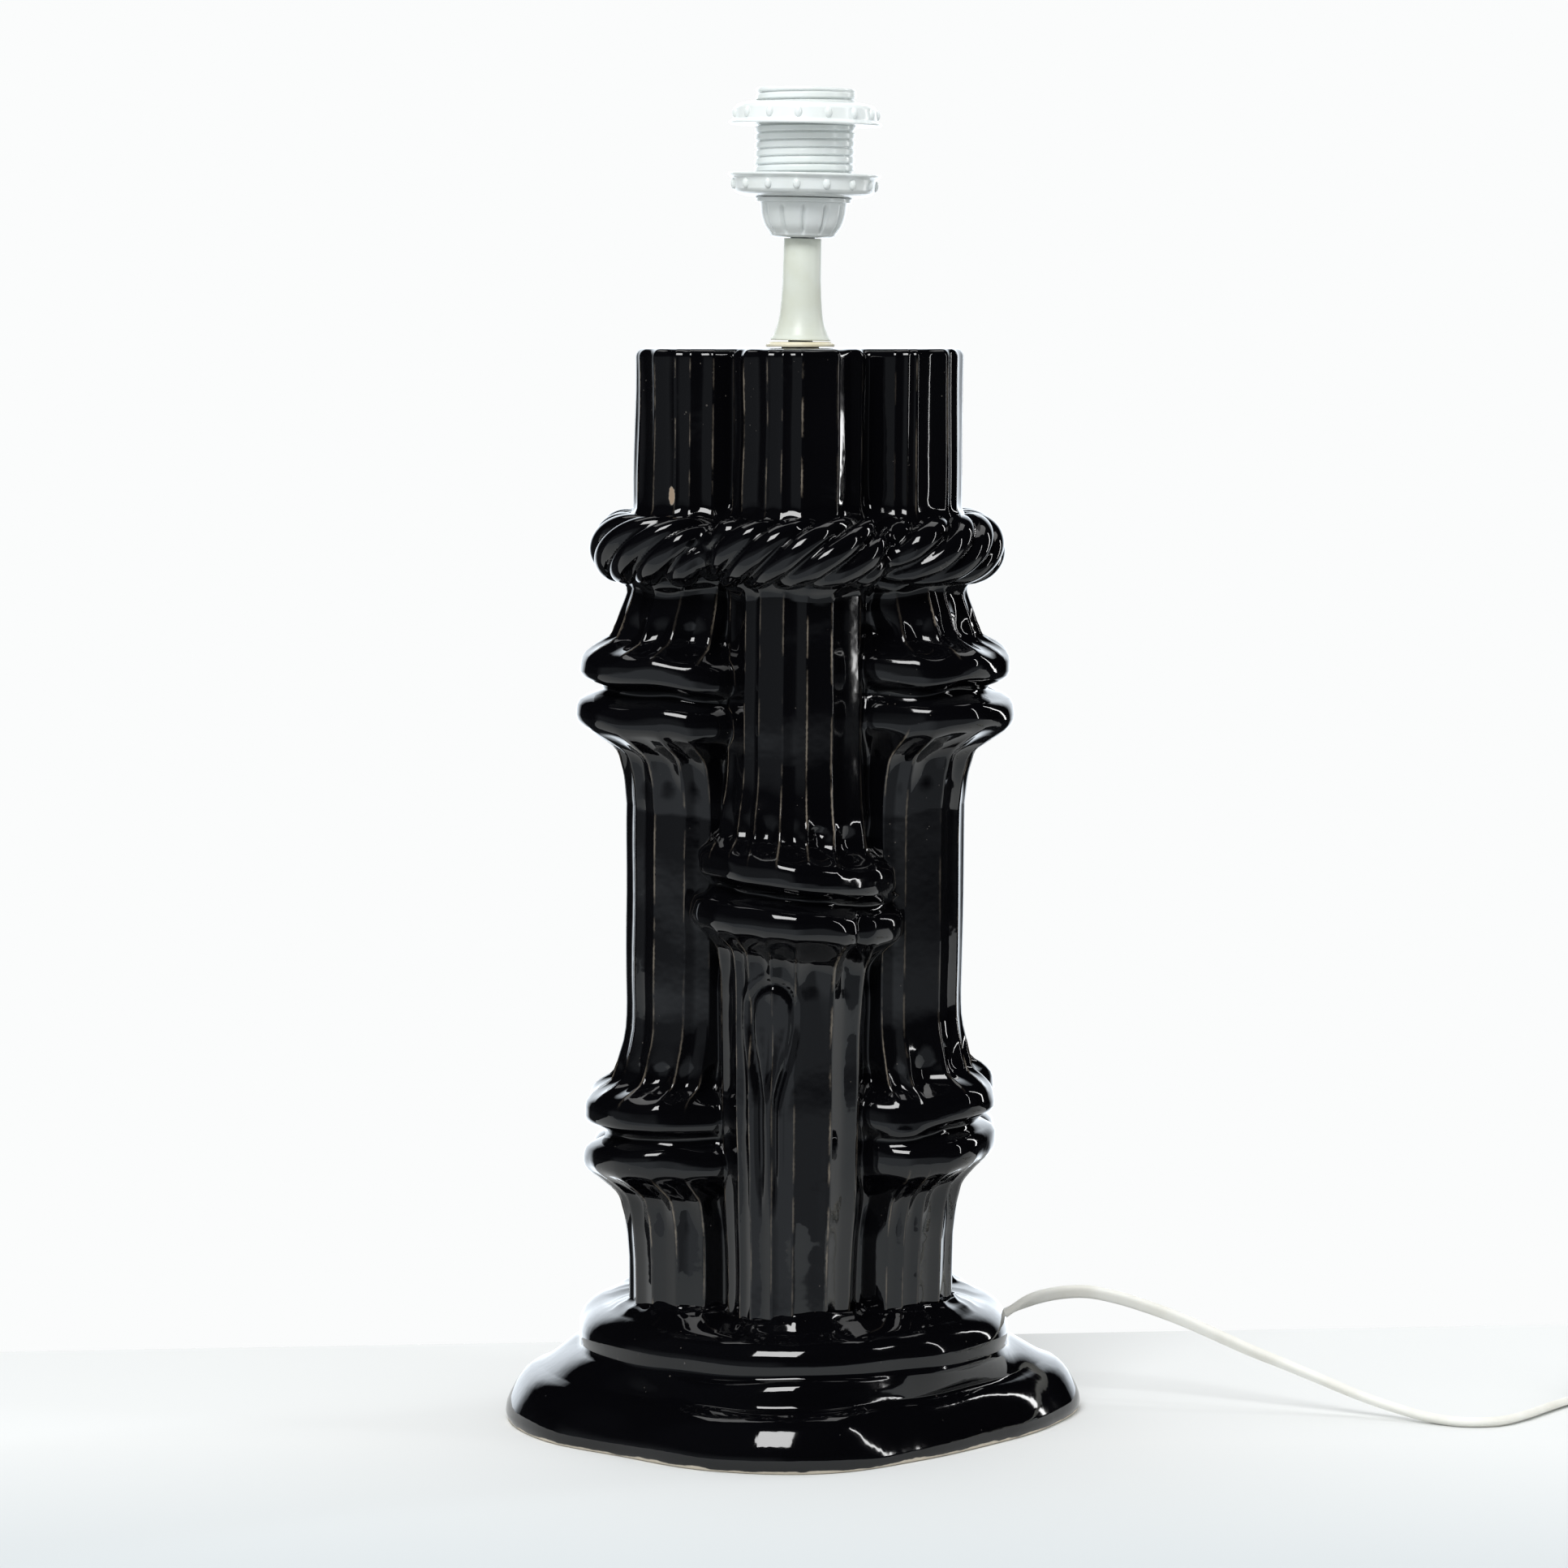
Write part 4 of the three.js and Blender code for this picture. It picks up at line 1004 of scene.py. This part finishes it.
soft_pieces = [
    softened("switch_base", "switch_lower_shell", 0.5),
    softened("switch_cover", "switch_upper_shell", 0.6),
    softened("switch_rocker", "rocker_cap", 0.35),
    softened("plug_body", "plug_moulding", 0.7),
    softened("coil_tie", "rubber_strap", 0.3),
]


# ---- cord --------------------------------------------------------------------------------------

CORD_WIDTH, CORD_THICK = 0.0054, 0.0034
# from the foot's hole to the switch, in metres
LEAD_ROUTE = [
    (0.0843, 0.0300, 0.03465), (0.0892, 0.0314, 0.0372), (0.0975, 0.0316, 0.0412), (0.1090, 0.0295, 0.0443),
    (0.1195, 0.0270, 0.0452), (0.1315, 0.0243, 0.0434), (0.1445, 0.0212, 0.0399), (0.1575, 0.0182, 0.0355),
    (0.1690, 0.0152, 0.0309), (0.1840, 0.0112, 0.0247), (0.1985, 0.0072, 0.0194), (0.2130, 0.0030, 0.0140),
    (0.2270, -0.0020, 0.0089), (0.2410, -0.0075, 0.0049), (0.2546, -0.0155, 0.0025),
    (0.2680, -0.0220, 0.0020),
    (0.2805, -0.0205, 0.0020), (0.2923, -0.0100, 0.0020), (0.3030, 0.0040, 0.0020), (0.3137, 0.0180, 0.0020),
    (0.3210, 0.0260, 0.0024), (0.3264, 0.0314, 0.0044), (0.3305, 0.0355, 0.0058),
]
# from the switch to the coil
RUN_ROUTE = [
    (0.3735, 0.0785, 0.0059), (0.3805, 0.0831, 0.0050), (0.3891, 0.0848, 0.0034), (0.3977, 0.0831, 0.0023),
    (0.4050, 0.0782, 0.0020), (0.4099, 0.0709, 0.0020), (0.4116, 0.0623, 0.0020), (0.4116, 0.0450, 0.0020),
    (0.4116, 0.0280, 0.0022), (0.4116, 0.0125, 0.0031),
]
# from the coil to the plug
TAIL_ROUTE = [(0.4116, -0.0275, 0.0084), (0.4116, -0.0330, 0.0078), (0.4116, -0.0390, 0.0072),
              (0.4116, -0.0447, 0.00705)]
COIL = {
    "x": 0.375, "y": -0.008, "outer": 0.0366, "inner": 0.0218, "low": 0.0038, "high": 0.0092, "turns": 3.5,
}
COIL_START = (0.4116, -0.008)   # where the cord comes into the coil
TURN_POINTS = 24


def coil_points():
    """Seven turns in two layers: inward on the table, up, and outward on top. Clockwise from above."""
    points = []
    steps = int(COIL["turns"] * TURN_POINTS)
    for layer in (0, 1):
        for step in range(steps + 1):
            if layer and step == 0:
                continue
            share = step / steps
            inward = share if layer == 0 else 1 - share
            radius = COIL["outer"] + (COIL["inner"] - COIL["outer"]) * inward
            angle = -2 * math.pi * COIL["turns"] * (share + layer)
            climb = smooth(0, 0.14, share) if layer else 0
            height = COIL["low"] + (COIL["high"] - COIL["low"]) * float(climb)
            x, y = COIL["x"] + radius * math.cos(angle), COIL["y"] + radius * math.sin(angle)
            points.append((x, y, height))
    return points


def even_path(points, step):
    """The points' smooth curve, cut into even steps."""
    points = np.array(points)
    lengths = np.concatenate([[0], np.cumsum(np.linalg.norm(np.diff(points, axis=0), axis=1))])
    fine = np.linspace(0, lengths[-1], int(lengths[-1] / 0.0004))
    curve = np.stack([through(lengths, points[:, axis], fine) for axis in range(3)], -1)
    along = np.concatenate([[0], np.cumsum(np.linalg.norm(np.diff(curve, axis=0), axis=1))])
    count = int(along[-1] / step)
    at = np.linspace(0, along[-1], count)
    return np.stack([np.interp(at, along, curve[:, axis]) for axis in range(3)], -1)


def flat_cord():
    route = LEAD_ROUTE + RUN_ROUTE + coil_points() + TAIL_ROUTE
    path = even_path(route, 0.0019)
    tangent = np.gradient(path, axis=0)
    tangent /= np.linalg.norm(tangent, axis=1)[:, None]
    side = np.cross(tangent, (0, 0, 1))
    side /= np.linalg.norm(side, axis=1)[:, None]
    up = np.cross(side, tangent)
    along = np.concatenate([[0], np.cumsum(np.linalg.norm(np.diff(path, axis=0), axis=1))])
    coil_start = along[np.argmin(np.linalg.norm(path - (*COIL_START, COIL["low"]), axis=1))]
    coil_end = along[-1] - 0.037
    coiling = smooth(coil_start - 0.03, coil_start + 0.004, along)
    edge_on = coiling * (1 - smooth(coil_end - 0.004, coil_end + 0.026, along))
    in_air = 1.25 - 0.65 * smooth(0.04, 0.17, along)
    roll = np.maximum(edge_on * math.pi / 2, in_air * smooth(0.0, 0.02, along) * smooth(0.3, 0.24, along))
    wide = side * np.cos(roll)[:, None] + up * np.sin(roll)[:, None]
    thick = np.cross(tangent, wide)
    section = np.linspace(0, 2 * np.pi, 20, endpoint=False)
    # flat oval with round ends and a faint hollow down each flat side, over the gap between the cores
    across = np.sign(np.cos(section)) * np.abs(np.cos(section)) ** 0.8 * CORD_WIDTH / 2
    rise = np.sign(np.sin(section)) * np.abs(np.sin(section)) ** 0.62 * CORD_THICK / 2
    rise = rise * (1 - 0.1 * hump(across, 0, CORD_WIDTH * 0.13))
    rings = path[:, None] + wide[:, None] * across[None, :, None] + thick[:, None] * rise[None, :, None]
    rows, columns = rings.shape[:2]
    faces = []
    for row in range(rows - 1):
        for column in range(columns):
            along_column = (column + 1) % columns
            faces.append((row * columns + column, row * columns + along_column,
                          (row + 1) * columns + along_column, (row + 1) * columns + column))
    faces.append(tuple(range(columns))[::-1])
    faces.append(tuple((rows - 1) * columns + column for column in range(columns)))
    mesh = bpy.data.meshes.new("mains_cord")
    mesh.from_pydata(rings.reshape(-1, 3).tolist(), [], faces)
    bm = bmesh.new()
    bm.from_mesh(mesh)
    bmesh.ops.recalc_face_normals(bm, faces=bm.faces)
    bm.to_mesh(mesh)
    bm.free()
    piece = new_object("mains_cord", mesh, FINISHES["cord_plastic"])
    return piece, path, float(along[-1])


cord, cord_path, cord_length = flat_cord()
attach(cord, "lamp")
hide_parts("cord_lead", "cord_run", "cord_tail", "cord_coil")


# ---- carried-over pieces -----------------------------------------------------------------------

def finish_carried_nodes():
    """Every CAD piece that stays gets the finish of its own slot."""
    for part in frame["record"]["subparts"]:
        node = nodes[part["node"]]
        finish = FINISHES[part["material_slot"]]
        if not node.material_slots:
            node.data.materials.append(finish)
        for slot in node.material_slots:
            slot.material = finish


finish_carried_nodes()


# ---- stage and light ---------------------------------------------------------------------------

def make_table():
    """A white lacquered table top, satin, with painted shade: its colour turns cooler and darker towards its
    front edge. It mirrors nothing.
    """
    mesh = bpy.data.meshes.new("table_top")
    mesh.from_pydata([(-1.6, -0.31, 0), (1.6, -0.31, 0), (1.6, 0.3, 0), (-1.6, 0.016, 0)], [], [(0, 1, 2, 3)])
    material, tree, shader = blank_material("white_lacquer", IOR=1.45)
    place = add(tree, "ShaderNodeTexCoord").outputs["Object"]
    toward = add(tree, "ShaderNodeSeparateXYZ", {0: place}).outputs[1]
    # painted shade: the colour is mixed towards a darker, cooler grey near the table's front edge
    front = add(tree, "ShaderNodeMapRange", {0: toward, 1: -0.05, 2: -0.3, 3: 0.0, 4: 1.0}).outputs[0]
    scuffs = add(tree, "ShaderNodeTexNoise", {"Vector": place, "Scale": 14, "Detail": 5}).outputs["Fac"]
    shade = add(tree, "ShaderNodeMix", {
        "Factor": front, "A": colour("#E2E4E4"), "B": colour("#C6CCCF"),
    }, data_type="RGBA").outputs["Result"]
    tree.links.new(shade, shader.inputs["Base Color"])
    dull = add(tree, "ShaderNodeMapRange", {0: scuffs, 1: 0.35, 2: 0.7, 3: 0.25, 4: 0.4}).outputs[0]
    tree.links.new(dull, shader.inputs["Roughness"])
    shader.inputs["Specular IOR Level"].default_value = 0.0
    table = new_object("table_top", mesh, material, shade=False)


def make_world():
    """A pale studio: what the eye and matt surfaces see is even and bright. What a glossy surface
    mirrors is a dim room, with a grey wall on the left, a grey floor in front and the bright backdrop
    straight behind."""
    world = bpy.data.worlds.new("studio")
    world.use_nodes = True
    scene.world = world
    tree = world.node_tree
    tree.nodes.clear()
    way = add(tree, "ShaderNodeTexCoord").outputs["Generated"]
    parts = add(tree, "ShaderNodeSeparateXYZ", {0: way}).outputs
    rear = add(tree, "ShaderNodeMapRange", {0: parts[1], 1: 0.72, 2: 0.87, 3: 0.0, 4: 1.0}).outputs[0]
    left = add(tree, "ShaderNodeMapRange", {0: parts[0], 1: -0.06, 2: -0.24, 3: 0.03, 4: 0.2}).outputs[0]
    floor = add(tree, "ShaderNodeMapRange", {0: parts[2], 1: -0.06, 2: -0.17, 3: 0.0, 4: 0.62}).outputs[0]
    facing = add(tree, "ShaderNodeMapRange", {0: parts[1], 1: 0.1, 2: -0.1, 3: 0.08, 4: 1.0}).outputs[0]
    above = add(tree, "ShaderNodeMapRange", {0: parts[2], 1: 0.3, 2: 0.05, 3: 0.1, 4: 1.0}).outputs[0]
    darker = add(tree, "ShaderNodeMapRange", {0: parts[0], 1: 0.25, 2: -0.05, 3: 0.5, 4: 1.0}).outputs[0]
    seen = math_node(tree, "MULTIPLY", math_node(tree, "MAXIMUM", left, floor), facing)
    room = math_node(tree, "MULTIPLY", math_node(tree, "MULTIPLY", seen, darker), above)
    mirrored = add(tree, "ShaderNodeMix", {
        "Factor": rear, "A": room, "B": 2.4,
    }, data_type="FLOAT").outputs["Result"]
    dim = add(tree, "ShaderNodeBackground", {"Color": (0.86, 0.93, 1, 1), "Strength": mirrored}).outputs[0]
    pale = add(tree, "ShaderNodeBackground", {"Color": colour("#FBFCFC"), "Strength": 1.0}).outputs[0]
    fall = add(tree, "ShaderNodeMapRange", {0: parts[2], 1: -0.5, 2: 0.5, 3: 0.69, 4: 0.67}).outputs[0]
    sideways = add(tree, "ShaderNodeMapRange", {0: parts[0], 1: -0.6, 2: 0.6, 3: 1.28, 4: 0.75}).outputs[0]
    strength = math_node(tree, "MULTIPLY", fall, sideways)
    even = add(tree, "ShaderNodeBackground", {"Color": colour("#FBFCFC"), "Strength": strength}).outputs[0]
    path = add(tree, "ShaderNodeLightPath").outputs
    lit = add(tree, "ShaderNodeMixShader", {0: path["Is Glossy Ray"], 1: even, 2: dim}).outputs[0]
    mixed = add(tree, "ShaderNodeMixShader", {0: path["Is Camera Ray"], 1: lit, 2: pale}).outputs[0]
    add(tree, "ShaderNodeOutputWorld", {0: mixed})


def softbox(name, location, aim, size, power, tint=(1, 1, 1)):
    data = bpy.data.lights.new(name, "AREA")
    data.shape = "RECTANGLE"
    data.size, data.size_y = size
    data.energy = power
    data.color = tint
    light = bpy.data.objects.new(name, data)
    scene.collection.objects.link(light)
    light.location = location
    light.rotation_euler = (Vector(aim) - Vector(location)).to_track_quat("-Z", "Y").to_euler()


make_table()
make_world()
softbox("key_high_front", (-0.42, -1.75, 2.05), (0, 0, 0.2), (1.0, 1.0), 42.5)
softbox("right_strip", (1.7, -0.55, 0.85), (0, 0, 0.3), (0.05, 1.5), 4)
softbox("right_rear", (1.5, 0.75, 0.75), (0, 0, 0.3), (0.08, 1.4), 4.5)
softbox("top_fill", (0, 0.45, 2.2), (0, 0, 0.3), (2.0, 0.7), 8)

scene.view_settings.view_transform = "Standard"
scene.view_settings.look = "None"
